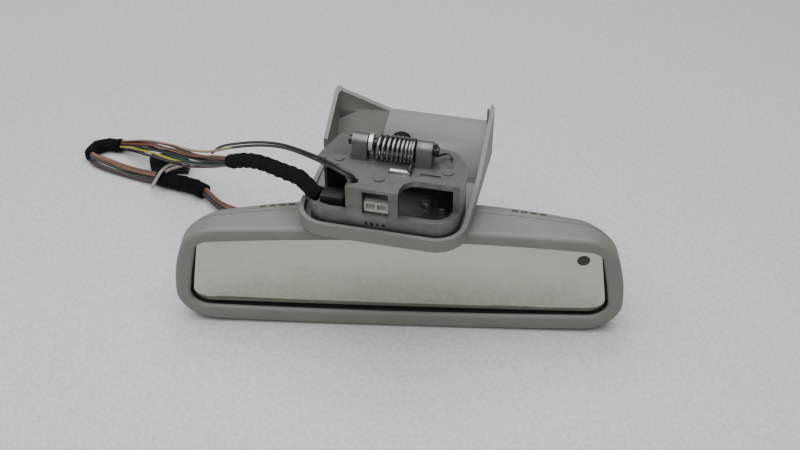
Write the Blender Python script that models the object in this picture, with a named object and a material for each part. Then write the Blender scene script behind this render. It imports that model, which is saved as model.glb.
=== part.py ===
"""Interior rearview mirror: head, ball joint, sprung roof mount and wiring harness.

Lengths are in millimetres and are turned to metres by the mesh helpers. The head stands on Z = 0 with
its glass facing -Y. The finished part is moved so that its origin is the front pad of the roof mount.
"""
import math

import bmesh
import bpy
from mathutils import Matrix, Vector

MM = 0.001
GAP = 0.3

# Head
HEAD_HEIGHT = 73.5
HEAD_HALF_WIDTH_LOW = 129.8
HEAD_HALF_WIDTH_MID = 127.0
HEAD_HALF_WIDTH_TOP = 117.5
HEAD_WALL = 2.4
SEAM_DEPTH = 20.5
SEAM_SWEEP = 6.9
SHELL_DEPTH = 18.0
SHELL_DROOP = 0.3
SHELL_TAPER = 0.0025
GLASS_FRONT = 3.0
LITE = 1.8
SENSOR_X = 102.8
SENSOR_Z = 53.4
SENSOR_RADIUS = 3.6
AMBIENT_X = 40.0
AMBIENT_Z = 40.0
AMBIENT_RADIUS = 3.2
VENT_X = (-77.0, -71.5, -66.0, -60.5, 64.5, 69.7, 74.9, 80.1)
VENT_HALF_WIDTH = 1.8
VENT_DEPTH = (4.5, 6.7)
CARRIER_BACK = 2.2
CARRIER_SCREWS = ((-90.0, 26.0), (90.0, 26.0), (-82.0, 56.0), (82.0, 56.0))
SCREW_RADIUS = 1.4
SCREW_HEAD_RADIUS = 2.8
SCREW_HOLE_RADIUS = 1.7

# Ball joint
BALL = Vector((0.0, 44.0, 46.0))
BALL_RADIUS = 9.5
LINER_INNER = 9.8
LINER_OUTER = 11.0
CAVITY_RADIUS = 11.3
NECK_RADIUS = 5.0
SOCKET_SCREWS = ((-12.6, 34.0), (12.6, 34.0), (-12.6, 56.0), (12.6, 56.0))

# Roof mount, in its own turned frame
MOUNT_PLACE = Vector((0.0, 38.0, 0.0))
MOUNT_YAW = math.radians(-10.5)
TRAY_LOW = 78.5
TRAY_FLOOR = 80.7
TRAY_WALL = 2.4
RIM_FRONT = 86.5
RIM_REAR = 109.0
TRAY_REAR = 38.0
EAR_FOOT = 28.0
CASTING_LOW = 81.0
CASTING_FLOOR = 83.2
PLATE_TOP = 111.5
PLATE_LOW = 108.0
SILL = 95.0
PAD_HEIGHT = 0.6
PAD_RADIUS = 3.0
PADS = {"front": (-2.0, -42.0), "left": (-27.0, -29.0), "right": (32.0, -29.0)}
SHAFT_V = -22.0
SHAFT_Z = 119.3
SHAFT_RADIUS = 2.5
BOSS_RADIUS = 4.6
COIL_Z = 117.0
COIL_RADIUS = 6.2
WIRE_RADIUS = 1.0
COIL_TURNS = 9
COIL_LEFT = -7.8
COIL_RIGHT = 12.8
STUD_U = -1.1
STUD_V = 5.9
SHROUD_SCREWS = ((20.0, -24.0), (29.0, -26.0), (-28.0, -24.0))

# Harness
LOOM_RADIUS = 3.8
SLEEVE_RADIUS = 4.2
WRAP_RADIUS = 4.6
LOWER_WRAP_RADIUS = 5.2
LEAD_RADIUS = 1.6
STUB_RADIUS = 1.1

PLASTIC = (0.30, 0.31, 0.28)
DARK = (0.02, 0.02, 0.02)
ZINC = (0.42, 0.44, 0.44)
STEEL = (0.62, 0.62, 0.60)


def clear_scene():
    for old in list(bpy.data.objects):
        bpy.data.objects.remove(old, do_unlink=True)


def paint(obj, colour, roughness, metallic=0.0):
    material = bpy.data.materials.new(obj.name)
    material.use_nodes = True
    shader = material.node_tree.nodes["Principled BSDF"]
    shader.inputs["Base Color"].default_value = (*colour, 1.0)
    shader.inputs["Roughness"].default_value = roughness
    shader.inputs["Metallic"].default_value = metallic
    obj.data.materials.append(material)
    return obj


def empty(name, place, parent=None, yaw=0.0):
    guide = bpy.data.objects.new(name, None)
    bpy.context.collection.objects.link(guide)
    guide.location = place * MM
    guide.rotation_euler = (0.0, 0.0, yaw)
    guide.parent = parent
    return guide


def finish_mesh(name, bm, parent, smooth=False):
    """Close a bmesh into an object whose faces point outwards, scaled to metres."""
    bmesh.ops.remove_doubles(bm, verts=bm.verts, dist=0.0005)
    bmesh.ops.recalc_face_normals(bm, faces=bm.faces)
    bmesh.ops.scale(bm, vec=(MM, MM, MM), verts=bm.verts)
    mesh = bpy.data.meshes.new(name)
    bm.to_mesh(mesh)
    bm.free()
    if smooth:
        mesh.shade_smooth()
        mesh.set_sharp_from_angle(angle=math.radians(35.0))
    obj = bpy.data.objects.new(name, mesh)
    bpy.context.collection.objects.link(obj)
    obj.parent = parent
    return obj


def bridged_cap(bm, loop):
    """Close a swept end: join the points of its lower run to those of its upper run."""
    count = len(loop)
    start = count - 3
    half = count // 2
    low = [loop[(start + k) % count] for k in range(half + 1)]
    high = [loop[(start - k) % count] for k in range(half + 1)]
    bm.faces.new((low[0], low[1], high[1]))
    for k in range(1, half - 1):
        bm.faces.new((low[k], low[k + 1], high[k + 1], high[k]))
    bm.faces.new((low[half - 1], low[half], high[half - 1]))


def loft(name, rings, parent, smooth=False, swept=False):
    """Skin a closed body through rings of equal length and cap its two ends."""
    bm = bmesh.new()
    loops = [[bm.verts.new(point) for point in ring] for ring in rings]
    count = len(rings[0])
    for low, high in zip(loops, loops[1:]):
        for i in range(count):
            j = (i + 1) % count
            bm.faces.new((low[i], low[j], high[j], high[i]))
    for end in (loops[0], loops[-1]):
        if swept:
            bridged_cap(bm, end)
        else:
            bm.faces.new(end)
    return finish_mesh(name, bm, parent, smooth)


def box(name, low, high, parent, edge=0.0):
    bm = bmesh.new()
    bmesh.ops.create_cube(bm, size=1.0)
    low = Vector(low)
    high = Vector(high)
    for vert in bm.verts:
        vert.co = Vector([low[k] + (vert.co[k] + 0.5) * (high[k] - low[k]) for k in range(3)])
    if edge:
        bmesh.ops.bevel(bm, geom=bm.edges[:], offset=edge, segments=2, profile=0.5, affect="EDGES")
    return finish_mesh(name, bm, parent)


def rod(name, start, end, radius, parent, sides=24, radius_end=None):
    bm = bmesh.new()
    start = Vector(start)
    end = Vector(end)
    along = end - start
    bmesh.ops.create_cone(bm, cap_ends=True, segments=sides, radius1=radius,
                          radius2=radius if radius_end is None else radius_end, depth=along.length)
    turn = Vector((0.0, 0.0, 1.0)).rotation_difference(along).to_matrix().to_4x4()
    bmesh.ops.transform(bm, matrix=Matrix.Translation((start + end) / 2) @ turn, verts=bm.verts)
    return finish_mesh(name, bm, parent, smooth=True)


def turned(name, profile, centre, parent, sides=28):
    """Turn a closed (radius, height) outline round the vertical through centre."""
    bm = bmesh.new()
    rings = []
    for radius, height in profile:
        if radius < 1e-6:
            rings.append([bm.verts.new((centre[0], centre[1], centre[2] + height))])
            continue
        ring = []
        for i in range(sides):
            angle = 2.0 * math.pi * i / sides
            ring.append(bm.verts.new((centre[0] + radius * math.cos(angle),
                                      centre[1] + radius * math.sin(angle), centre[2] + height)))
        rings.append(ring)
    closed = rings + rings[:1] if len(rings[0]) > 1 and len(rings[-1]) > 1 else rings
    for low, high in zip(closed, closed[1:]):
        for i in range(sides):
            j = (i + 1) % sides
            if len(low) == 1:
                bm.faces.new((low[0], high[j], high[i]))
            elif len(high) == 1:
                bm.faces.new((low[i], low[j], high[0]))
            else:
                bm.faces.new((low[i], low[j], high[j], high[i]))
    return finish_mesh(name, bm, parent, smooth=True)


def sphere(name, centre, radius, parent, sides=24):
    bm = bmesh.new()
    bmesh.ops.create_uvsphere(bm, u_segments=sides, v_segments=sides // 2, radius=radius)
    bmesh.ops.translate(bm, vec=Vector(centre), verts=bm.verts)
    return finish_mesh(name, bm, parent, smooth=True)


def rounded(corners, steps=4):
    """Points of a polygon (corner x, corner y, radius) whose corners are arcs."""
    points = []
    count = len(corners)
    for i in range(count):
        here = Vector(corners[i][:2])
        radius = corners[i][2]
        to_last = (Vector(corners[i - 1][:2]) - here).normalized()
        to_next = (Vector(corners[(i + 1) % count][:2]) - here).normalized()
        half = to_last.angle(to_next) / 2.0
        reach = radius / math.tan(half)
        middle = here + (to_last + to_next).normalized() * radius / math.sin(half)
        first = here + to_last * reach - middle
        last = here + to_next * reach - middle
        sweep = first.angle_signed(last) if first.length > 1e-6 else 0.0
        for k in range(steps + 1):
            angle = -sweep * k / steps
            points.append(middle + Matrix.Rotation(angle, 2) @ first)
    return points


def slab(name, points, low, high, parent):
    """Upright prism of a plan outline between two heights."""
    rings = [[(p[0], p[1], height) for p in points] for height in (low, high)]
    return loft(name, rings, parent)


def profile_slab(name, points, left, right, parent):
    """Prism of a (depth, height) outline between two widths."""
    rings = [[(width, p[0], p[1]) for p in points] for width in (left, right)]
    return loft(name, rings, parent)


def combine(target, cutter, operation="DIFFERENCE"):
    modifier = target.modifiers.new(cutter.name, "BOOLEAN")
    modifier.operation = operation
    modifier.solver = "EXACT"
    modifier.object = cutter
    cutter.hide_render = True
    cutter.display_type = "WIRE"
    return target


def subdivided(points, steps, parts):
    """Split the straight run after each rounded corner, so that a bowed outline stays smooth."""
    result = []
    for i, here in enumerate(points):
        after = points[(i + 1) % len(points)]
        corner, place = divmod(i, steps + 1)
        count = parts[corner] if place == steps else 1
        for k in range(count):
            result.append(here.lerp(after, k / count))
    return result


def bowed(points, top_bow, bottom_bow):
    """Arch the top edge and lift the ends of the bottom edge of a (width, height) outline."""
    result = []
    for x, z in points:
        spread = (x / 128.0) ** 2
        rise = z / HEAD_HEIGHT
        result.append((x, z + (1.0 - rise) * bottom_bow * spread - rise * top_bow * spread))
    return result


def head_outline(inset):
    corners = [
        (-HEAD_HALF_WIDTH_LOW + inset, inset, max(22.0 - inset, 3.0)),
        (HEAD_HALF_WIDTH_LOW - inset, inset, max(22.0 - inset, 3.0)),
        (HEAD_HALF_WIDTH_MID - inset, 42.0, 30.0),
        (HEAD_HALF_WIDTH_TOP - inset, HEAD_HEIGHT - inset, max(21.0 - inset, 3.0)),
        (-HEAD_HALF_WIDTH_TOP + inset, HEAD_HEIGHT - inset, max(21.0 - inset, 3.0)),
        (-HEAD_HALF_WIDTH_MID + inset, 42.0, 30.0),
    ]
    return bowed(subdivided(rounded(corners, 4), 4, (18, 1, 1, 18, 1, 1)), 5.0, 2.2)


def glass_outline(inset):
    corners = [
        (-119.6 + inset, 14.0 + inset, 10.0),
        (119.6 - inset, 14.0 + inset, 10.0),
        (112.2 - inset, 67.0 - inset, 8.0),
        (-112.2 + inset, 67.0 - inset, 8.0),
    ]
    return bowed(subdivided(rounded(corners, 3), 3, (18, 2, 18, 2)), 8.0, 3.0)


def opening_outline():
    corners = [(-121.4, 10.8, 11.0), (121.4, 10.8, 11.0), (112.4, 65.2, 8.0), (-112.4, 65.2, 8.0)]
    return bowed(subdivided(rounded(corners, 3), 3, (18, 2, 18, 2)), 8.0, 4.0)


def seam(x):
    """Depth of the joint between bezel and rear shell, swept forward towards the ends."""
    return SEAM_DEPTH - SEAM_SWEEP * (x / 100.0) ** 2


def plate(name, outline, front, back, parent):
    return loft(name, [[(x, depth, z) for x, z in outline] for depth in (front, back)], parent)


def make_bezel(head):
    rings = [[(x, depth, z) for x, z in head_outline(inset)]
             for depth, inset in ((0.0, 1.6), (0.5, 0.5), (1.7, 0.0))]
    rings.append([(x, seam(x), z) for x, z in head_outline(0.0)])
    bezel = loft("front_bezel", rings, head, smooth=True, swept=True)
    combine(bezel, plate("bezel_hollow", head_outline(HEAD_WALL), HEAD_WALL, 40.0, head))
    combine(bezel, plate("bezel_opening", opening_outline(), -5.0, 6.0, head))
    return paint(bezel, PLASTIC, 0.5)


SHELL_SECTIONS = ((GAP, 0.0), (8.0, 1.4), (11.5, 4.5), (14.5, 10.0), (17.0, 18.0), (SHELL_DEPTH, 24.0))


def shell_rings(wall):
    rings = []
    for depth, inset in SHELL_SECTIONS:
        ring = []
        for x, z in head_outline(inset + wall):
            drop = SHELL_DROOP * depth * (x / 128.0) ** 2 * z / HEAD_HEIGHT
            ring.append((x * (1.0 - SHELL_TAPER * depth), seam(x) + depth - wall, z - drop))
        rings.append(ring)
    return rings


def make_shell(head):
    shell = loft("rear_shell", shell_rings(0.0), head, smooth=True, swept=True)
    hollow = shell_rings(HEAD_WALL)
    hollow[0] = [(x, y - 10.0, z) for x, y, z in hollow[0]]
    combine(shell, loft("shell_hollow", hollow, head, swept=True))
    combine(shell, box("socket_hole", (-16.5, 20.0, 29.5), (16.5, 60.0, 60.6), head))
    for i, x in enumerate(VENT_X):
        low = (x - VENT_HALF_WIDTH, seam(x) + VENT_DEPTH[0], 60.0)
        high = (x + VENT_HALF_WIDTH, seam(x) + VENT_DEPTH[1], 80.0)
        combine(shell, box(f"vent_cutter_{i + 1}", low, high, head))
    combine(shell, rod("ambient_hole", (AMBIENT_X, 30.0, AMBIENT_Z), (AMBIENT_X, 60.0, AMBIENT_Z),
                       AMBIENT_RADIUS + GAP, head))
    return paint(shell, PLASTIC, 0.5)


def make_glass(head):
    """Glass stack from front to back; the glare sensor looks through the right-hand end."""
    depth = GLASS_FRONT
    eye = (SENSOR_X, SENSOR_Z)
    layers = (
        ("front_glass", 0.0, LITE, (0.55, 0.58, 0.53), 0.03, 0.9),
        ("glass_seal", 0.8, 0.4, DARK, 0.6, 0.0),
        ("rear_glass", 0.8, LITE, (0.45, 0.48, 0.45), 0.05, 0.5),
        ("foam_pad", 2.0, 1.0, DARK, 0.95, 0.0),
    )
    for name, inset, thickness, colour, roughness, metallic in layers:
        layer = plate(name, glass_outline(inset), depth, depth + thickness, head)
        if name == "glass_seal":
            combine(layer, plate("seal_cutter", glass_outline(inset + 2.0), depth - 1.0, depth + 2.0, head))
        else:
            hole = SENSOR_RADIUS + GAP
            cutter = rod(f"{name}_eye", (eye[0], depth - 1.0, eye[1]), (eye[0], depth + 3.0, eye[1]),
                         hole, head)
            combine(layer, cutter)
        paint(layer, colour, roughness, metallic)
        depth += thickness + GAP
    window = rod("sensor_window", (eye[0], GLASS_FRONT, eye[1]), (eye[0], GLASS_FRONT + LITE, eye[1]),
                 SENSOR_RADIUS, head)
    paint(window, (0.05, 0.06, 0.04), 0.15)
    sensor = rod("glare_sensor", (eye[0], GLASS_FRONT + LITE + GAP, eye[1]), (eye[0], 13.5, eye[1]),
                 SENSOR_RADIUS - 0.4, head)
    paint(sensor, DARK, 0.4)
    return depth


def make_carrier(head, front):
    """Black tray: a back plate with a rim round the glass stack."""
    carrier = plate("glass_carrier", glass_outline(-1.6), 5.6, front + CARRIER_BACK, head)
    combine(carrier, plate("carrier_hollow", glass_outline(-0.3), 0.0, front, head))
    combine(carrier, rod("carrier_eye", (SENSOR_X, 0.0, SENSOR_Z), (SENSOR_X, 20.0, SENSOR_Z), 4.0, head))
    back = front + CARRIER_BACK
    for i, (x, z) in enumerate(CARRIER_SCREWS):
        hole = rod(f"carrier_screw_hole_{i + 1}", (x, front - 4.0, z), (x, back + 9.0, z),
                   SCREW_HOLE_RADIUS,
                   head, sides=16)
        combine(carrier, hole)
        screw = rod(f"carrier_screw_{i + 1}", (x, front + GAP, z), (x, back + GAP, z), SCREW_RADIUS,
                    head, sides=16)
        head_part = rod(f"carrier_screw_head_{i + 1}", (x, back + GAP - 0.1, z), (x, back + 2.4, z),
                        SCREW_HEAD_RADIUS, head, sides=16)
        combine(screw, head_part, "UNION")
        paint(screw, STEEL, 0.35, 1.0)
    paint(carrier, DARK, 0.6)
    return back


def make_electronics(head, back):
    board_front = back + 2.0
    board = box("circuit_board", (-45.0, board_front, 20.0), (60.0, board_front + 1.6, 50.0), head)
    combine(board,
            box("board_notch", (-21.0, board_front - 2.0, 24.0), (21.0, board_front + 4.0, 64.0), head))
    paint(board, (0.02, 0.16, 0.07), 0.4)
    socket = box("board_connector", (-41.0, board_front + 1.6 + GAP, 24.0),
                 (-27.0, board_front + 9.0, 32.0), head)
    combine(socket, box("board_connector_mouth", (-39.5, board_front + 4.0, 25.5),
                        (-28.5, board_front + 12.0, 30.5), head))
    paint(socket, (0.75, 0.73, 0.66), 0.5)
    window = rod("ambient_window", (AMBIENT_X, 33.5, AMBIENT_Z),
                 (AMBIENT_X, seam(AMBIENT_X) + SHELL_DEPTH, AMBIENT_Z), AMBIENT_RADIUS, head)
    paint(window, (0.03, 0.03, 0.03), 0.1)


def neck_slot(name, parent):
    """Room for the stud's neck as the head tilts."""
    return box(name, (-7.6, BALL.y - 9.0, BALL.z + 4.0), (7.6, BALL.y + 11.0, BALL.z + 40.0), parent)


def make_socket(head):
    split = BALL.y
    base = box("socket_base", (-16.0, 27.0, 30.0), (16.0, split - GAP / 2, 60.0), head, edge=1.2)
    combine(base, box("socket_flange", (-19.5, 27.2, 26.5), (19.5, 29.4, 59.5), head), "UNION")
    cap = box("socket_cap", (-16.0, split + GAP / 2, 30.0), (16.0, 58.5, 60.0), head, edge=4.0)
    for part in (base, cap):
        combine(part, sphere(f"{part.name}_cavity", BALL, CAVITY_RADIUS, head))
        combine(part, neck_slot(f"{part.name}_slot", head))
    pocket = rod("washer_pocket", (0.0, 30.6, BALL.z), (0.0, 38.0, BALL.z), 7.0, head)
    combine(base, pocket)
    washer = rod("socket_washer", (0.0, 30.9, BALL.z), (0.0, 31.7, BALL.z), 6.5, head)
    combine(washer, rod("washer_hole", (0.0, 28.0, BALL.z), (0.0, 35.0, BALL.z), 3.5, head))
    paint(washer, STEEL, 0.3, 1.0)
    for i, (x, z) in enumerate(SOCKET_SCREWS):
        for part in (base, cap):
            hole = rod(f"{part.name}_hole_{i + 1}", (x, 38.0, z), (x, 70.0, z), SCREW_HOLE_RADIUS, head,
                       sides=16)
            combine(part, hole)
        seat = rod(f"cap_seat_{i + 1}", (x, 52.0, z), (x, 70.0, z), 3.2, head, sides=16)
        combine(cap, seat)
        screw = rod(f"socket_screw_{i + 1}", (x, 38.6, z), (x, 52.5, z), SCREW_RADIUS, head, sides=16)
        head_part = rod(f"socket_screw_head_{i + 1}", (x, 52.0 + GAP, z), (x, 54.4, z),
                        SCREW_HEAD_RADIUS, head,
                        sides=16)
        combine(screw, head_part, "UNION")
        paint(screw, STEEL, 0.35, 1.0)
    paint(base, (0.06, 0.06, 0.06), 0.5)
    paint(cap, (0.06, 0.06, 0.06), 0.5)


def make_liner(name, side, parent):
    """One nylon half-shell round the ball, open above for the neck."""
    centre = (0.0, 0.0, 0.0)
    liner = sphere(name, centre, LINER_OUTER, parent)
    combine(liner, sphere(f"{name}_bore", centre, LINER_INNER, parent))
    if side > 0:
        combine(liner, box(f"{name}_half", (-20.0, -20.0, -20.0), (20.0, GAP / 2, 20.0), parent))
    else:
        combine(liner, box(f"{name}_half", (-20.0, -GAP / 2, -20.0), (20.0, 20.0, 20.0), parent))
    combine(liner, rod(f"{name}_mouth", (0.0, 0.0, 2.0), (0.0, 0.0, 20.0), 7.2, parent))
    return paint(liner, (0.80, 0.79, 0.74), 0.4)


def make_stud(mount):
    centre = (STUD_U, STUD_V, 0.0)
    profile = []
    joint = math.asin(NECK_RADIUS / BALL_RADIUS)
    for k in range(13):
        angle = -math.pi / 2 + (math.pi - joint) * k / 12
        profile.append((BALL_RADIUS * math.cos(angle), BALL.z + BALL_RADIUS * math.sin(angle)))
    profile[0] = (0.0, BALL.z - BALL_RADIUS)
    profile += [(NECK_RADIUS, 75.0), (8.5, 78.2), (8.5, CASTING_LOW - GAP), (3.0, CASTING_LOW - GAP),
                (3.0, 99.0), (0.0, 99.0)]
    stud = turned("ball_stud", profile, centre, mount)
    paint(stud, ZINC, 0.35, 0.9)
    nut = rod("stud_nut", (STUD_U, STUD_V, 93.3), (STUD_U, STUD_V, 98.3), 5.1, mount, sides=6)
    combine(nut, rod("nut_bore", (STUD_U, STUD_V, 90.0), (STUD_U, STUD_V, 102.0), 3.3, mount))
    paint(nut, STEEL, 0.35, 1.0)
    dome = [(0.0, 93.3), (6.4, 93.3), (6.4, 101.5)]
    for k in range(1, 5):
        angle = math.pi / 2 * k / 5
        dome.append((6.4 * math.cos(angle), 101.5 + 5.6 * math.sin(angle)))
    dome.append((0.0, 107.1))
    cap = turned("stud_cap", dome, centre, mount)
    combine(cap, rod("cap_hollow", (STUD_U, STUD_V, 90.0), (STUD_U, STUD_V, 100.4), 5.5, mount))
    paint(cap, DARK, 0.7)


def tray_plan(inset):
    corners = [(-46.8 + inset, -56.0 + inset, 17.0 - inset), (45.0 - inset, -56.0 + inset, 17.0 - inset),
               (46.0 - inset, TRAY_REAR - inset + 2.0, 2.6), (-47.6 + inset, TRAY_REAR - inset + 2.0, 2.6)]
    return rounded(corners, 6)


def ear_slope(u):
    """Rise of the steep rear left corner, which climbs towards its outer end."""
    return (18.2 - 0.35 * (u + 15.0)) / (TRAY_REAR + 2.0 - TRAY_WALL - EAR_FOOT)


def make_shroud(mount):
    """Tray whose rim climbs towards the windscreen, with a raised ear at the rear left corner."""
    shroud = slab("mount_shroud", tray_plan(0.0), TRAY_LOW, 112.5, mount)
    rim = [(-80.0, RIM_FRONT), (-22.0, RIM_FRONT), (0.0, RIM_FRONT + 3.0),
           (TRAY_REAR + 20.0, RIM_REAR + 11.5),
           (TRAY_REAR + 20.0, 140.0), (-80.0, 140.0)]
    combine(shroud, profile_slab("rim_cutter", rim, -80.0, 80.0, mount))
    well = slab("tray_well", tray_plan(TRAY_WALL), TRAY_FLOOR, 130.0, mount)
    ramp = [(2.0, TRAY_FLOOR - 6.0), (7.0, 86.0), (23.0, 95.0), (24.0, 96.2), (60.0, 104.0),
            (60.0, TRAY_FLOOR - 6.0)]
    combine(well, profile_slab("right_ramp", ramp, -15.0, 70.0, mount))
    inner_rear = TRAY_REAR + 2.0 - TRAY_WALL
    ear_rings = []
    for u in (-70.0, -15.0):
        slope = ear_slope(u)
        ear_rings.append([(u, EAR_FOOT - 1.0, 70.0), (u, EAR_FOOT - 1.0, TRAY_FLOOR - slope),
                          (u, 60.0, TRAY_FLOOR + slope * (60.0 - EAR_FOOT)), (u, 60.0, 70.0)])
    combine(well, loft("left_ramp", ear_rings, mount))
    combine(well, box("foot_pocket", (-15.5, -5.0, TRAY_FLOOR), (13.5, 18.6, 129.0), mount), "UNION")
    combine(shroud, well)
    crest = []
    for u in (-44.4, -15.2):
        top = TRAY_FLOOR + ear_slope(u) * (inner_rear - EAR_FOOT)
        crest.append([(u, inner_rear - 0.1, top), (u, 45.0, top + 2.0), (u, 45.0, 140.0),
                      (u, inner_rear - 0.1, 140.0)])
    combine(shroud, loft("ear_crest", crest, mount))
    lip = [(inner_rear - 0.1, 99.2), (45.0, 100.2), (45.0, 140.0), (inner_rear - 0.1, 140.0)]
    combine(shroud, profile_slab("rear_crest", lip, -15.6, 43.4, mount))
    rear = TRAY_REAR - 1.2
    under = [(8.0, 60.0), (8.0, TRAY_LOW + 4.0), (23.0, 91.8), (rear, 95.4), (rear, 60.0)]
    combine(shroud, profile_slab("underside_right", under, 15.9, 43.0, mount))
    under = [(21.0, 60.0), (21.0, 90.8), (23.0, 91.8), (rear, 95.4), (rear, 60.0)]
    combine(shroud, profile_slab("underside_middle", under, -12.6, 20.0, mount))
    ear_under = []
    for u in (-45.0, -15.8):
        reach = ear_slope(u) * (rear - EAR_FOOT - TRAY_WALL)
        ear_under.append([(u, EAR_FOOT + TRAY_WALL, 60.0), (u, EAR_FOOT + TRAY_WALL, TRAY_FLOOR - 0.7),
                          (u, rear, TRAY_FLOOR - 0.7 + reach), (u, rear, 60.0)])
    combine(shroud, loft("ear_underside", ear_under, mount))
    combine(shroud, box("wire_exit", (-60.0, -34.0, 82.5), (-44.0, 9.0, 130.0), mount))
    combine(shroud, rod("stud_hole", (STUD_U, STUD_V, 60.0), (STUD_U, STUD_V, 90.0), 9.6, mount))
    for i, (u, v) in enumerate(SHROUD_SCREWS):
        combine(shroud, rod(f"shroud_hole_{i + 1}", (u, v, 70.0), (u, v, 90.0), 1.9, mount, sides=16))
    return paint(shroud, PLASTIC, 0.5)


def casting_plan(inset):
    corners = [(-43.0 + inset, -52.6 + inset, 12.0 - inset / 2),
               (40.2 - inset, -52.6 + inset, 12.0 - inset / 2),
               (41.2 - inset, -22.0, 2.5), (34.5 - inset, -11.0 - inset, 4.0), (21.0, -8.0 - inset, 2.0),
               (-22.0, -4.0 - inset, 4.0), (-32.0 + inset, -7.0 - inset, 4.0), (-38.0 + inset, -26.0, 6.0)]
    return rounded(corners, 5)


def make_bracket(mount):
    """Zinc casting: flat top plate on a low wall, two open front corners, pillars and shaft bosses."""
    bracket = slab("mount_bracket", casting_plan(0.0), CASTING_LOW, PLATE_TOP, mount)
    foot = box("bracket_foot", (-14.0, -12.0, CASTING_LOW + 0.05), (12.0, 17.0, 93.0), mount)
    combine(bracket, foot, "UNION")
    hollow = [(-39.0, -49.2, 9.0), (37.0, -49.2, 9.0), (37.0, -24.0, 2.0), (30.0, -14.0, 2.0),
              (-29.0, -12.5, 2.0),
              (-34.0, -26.0, 2.0)]
    combine(bracket, slab("bracket_hollow", rounded(hollow, 3), CASTING_FLOOR, PLATE_LOW, mount))
    right = [(10.5, -70.0, 1.0), (60.0, -70.0, 1.0), (60.0, -40.0, 1.0), (10.5, -40.0, 8.0)]
    combine(bracket, slab("right_corner", rounded(right, 3), SILL, 130.0, mount))
    left = [(-60.0, -70.0, 1.0), (-17.5, -70.0, 1.0), (-17.5, -45.0, 4.0), (-22.5, -37.5, 3.0),
            (-60.0, -37.5, 1.0)]
    combine(bracket, slab("left_corner", rounded(left, 3), SILL, 130.0, mount))
    combine(bracket, box("wire_gate", (-60.0, -47.5, 86.0), (-34.5, -24.0, PLATE_LOW + 0.2), mount))
    combine(bracket, box("window", (-8.7, -60.0, 95.2), (5.3, -47.0, 109.6), mount))
    for i in range(4):
        low = -7.5 + 3.1 * i
        combine(bracket, box(f"tooth_gap_{i + 1}", (low, -60.0, 87.6), (low + 1.7, -51.2, 90.2), mount))
    combine(bracket, box("spring_trough", (-11.9, -26.8, 100.0), (13.8, -10.0, 130.0), mount))
    combine(bracket,
            box("trough_lip", (-11.4, -28.0, PLATE_TOP - 1.0), (13.6, -27.0, PLATE_TOP + 0.4), mount),
            "UNION")
    combine(bracket, box("latch_slot", (1.5, -36.4, 100.0), (13.6, -31.9, 130.0), mount))
    combine(bracket, box("relief_slot", (18.0, -35.6, 110.6), (29.0, -32.9, 130.0), mount))
    combine(bracket, rod("lead_hole", (-14.0, -46.5, 100.0), (-14.0, -46.5, 130.0), 2.2, mount, sides=16))
    combine(bracket, rod("stud_bore", (STUD_U, STUD_V, 70.0), (STUD_U, STUD_V, 110.0), 3.3, mount))
    for name, left_side, right_side in (("left_boss", -20.6, -12.3), ("right_boss", 14.2, 22.6)):
        outline = [(SHAFT_V - 7.0, PLATE_TOP - 1.0), (SHAFT_V + 7.0, PLATE_TOP - 1.0),
                   (SHAFT_V + BOSS_RADIUS, SHAFT_Z), (SHAFT_V - BOSS_RADIUS, SHAFT_Z)]
        boss = profile_slab(name, outline, left_side, right_side, mount)
        combine(boss, rod(f"{name}_top", (left_side, SHAFT_V, SHAFT_Z), (right_side, SHAFT_V, SHAFT_Z),
                          BOSS_RADIUS, mount, sides=28), "UNION")
        combine(bracket, boss, "UNION")
    bore = rod("shaft_bore", (-30.0, SHAFT_V, SHAFT_Z), (30.0, SHAFT_V, SHAFT_Z), SHAFT_RADIUS + GAP, mount)
    combine(bracket, bore)
    for name, (u, v) in PADS.items():
        pad = rod(f"pad_{name}", (u, v, PLATE_TOP - 1.0), (u, v, PLATE_TOP + PAD_HEIGHT), PAD_RADIUS, mount)
        combine(bracket, pad, "UNION")
    for i, (u, v) in enumerate(SHROUD_SCREWS):
        combine(bracket, rod(f"bracket_hole_{i + 1}", (u, v, 78.0), (u, v, 88.0), 2.0, mount, sides=16))
        screw = rod(f"shroud_screw_{i + 1}", (u, v, TRAY_LOW), (u, v, CASTING_FLOOR + 0.6), 1.6, mount,
                    sides=16)
        head_part = rod(f"shroud_screw_head_{i + 1}", (u, v, CASTING_FLOOR + GAP),
                        (u, v, CASTING_FLOOR + 2.9),
                        3.6, mount, sides=18, radius_end=2.8)
        combine(screw, head_part, "UNION")
        paint(screw, STEEL, 0.3, 1.0)
    return paint(bracket, ZINC, 0.45, 0.8)


def tube(name, points, radius, parent, smooth_route=True, resolution=2, spacing=None):
    """Plain tube along a smooth curve through the route's points."""
    route = smooth(points, spacing or radius * 5.0) if smooth_route else [Vector(p) for p in points]
    curve = bpy.data.curves.new(name, "CURVE")
    curve.dimensions = "3D"
    curve.bevel_depth = radius * MM
    curve.bevel_resolution = resolution
    curve.use_fill_caps = True
    spline = curve.splines.new("POLY")
    spline.points.add(len(route) - 1)
    for point, place in zip(spline.points, route):
        point.co = (*(place * MM), 1.0)
    obj = bpy.data.objects.new(name, curve)
    bpy.context.collection.objects.link(obj)
    obj.parent = parent
    return obj


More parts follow.
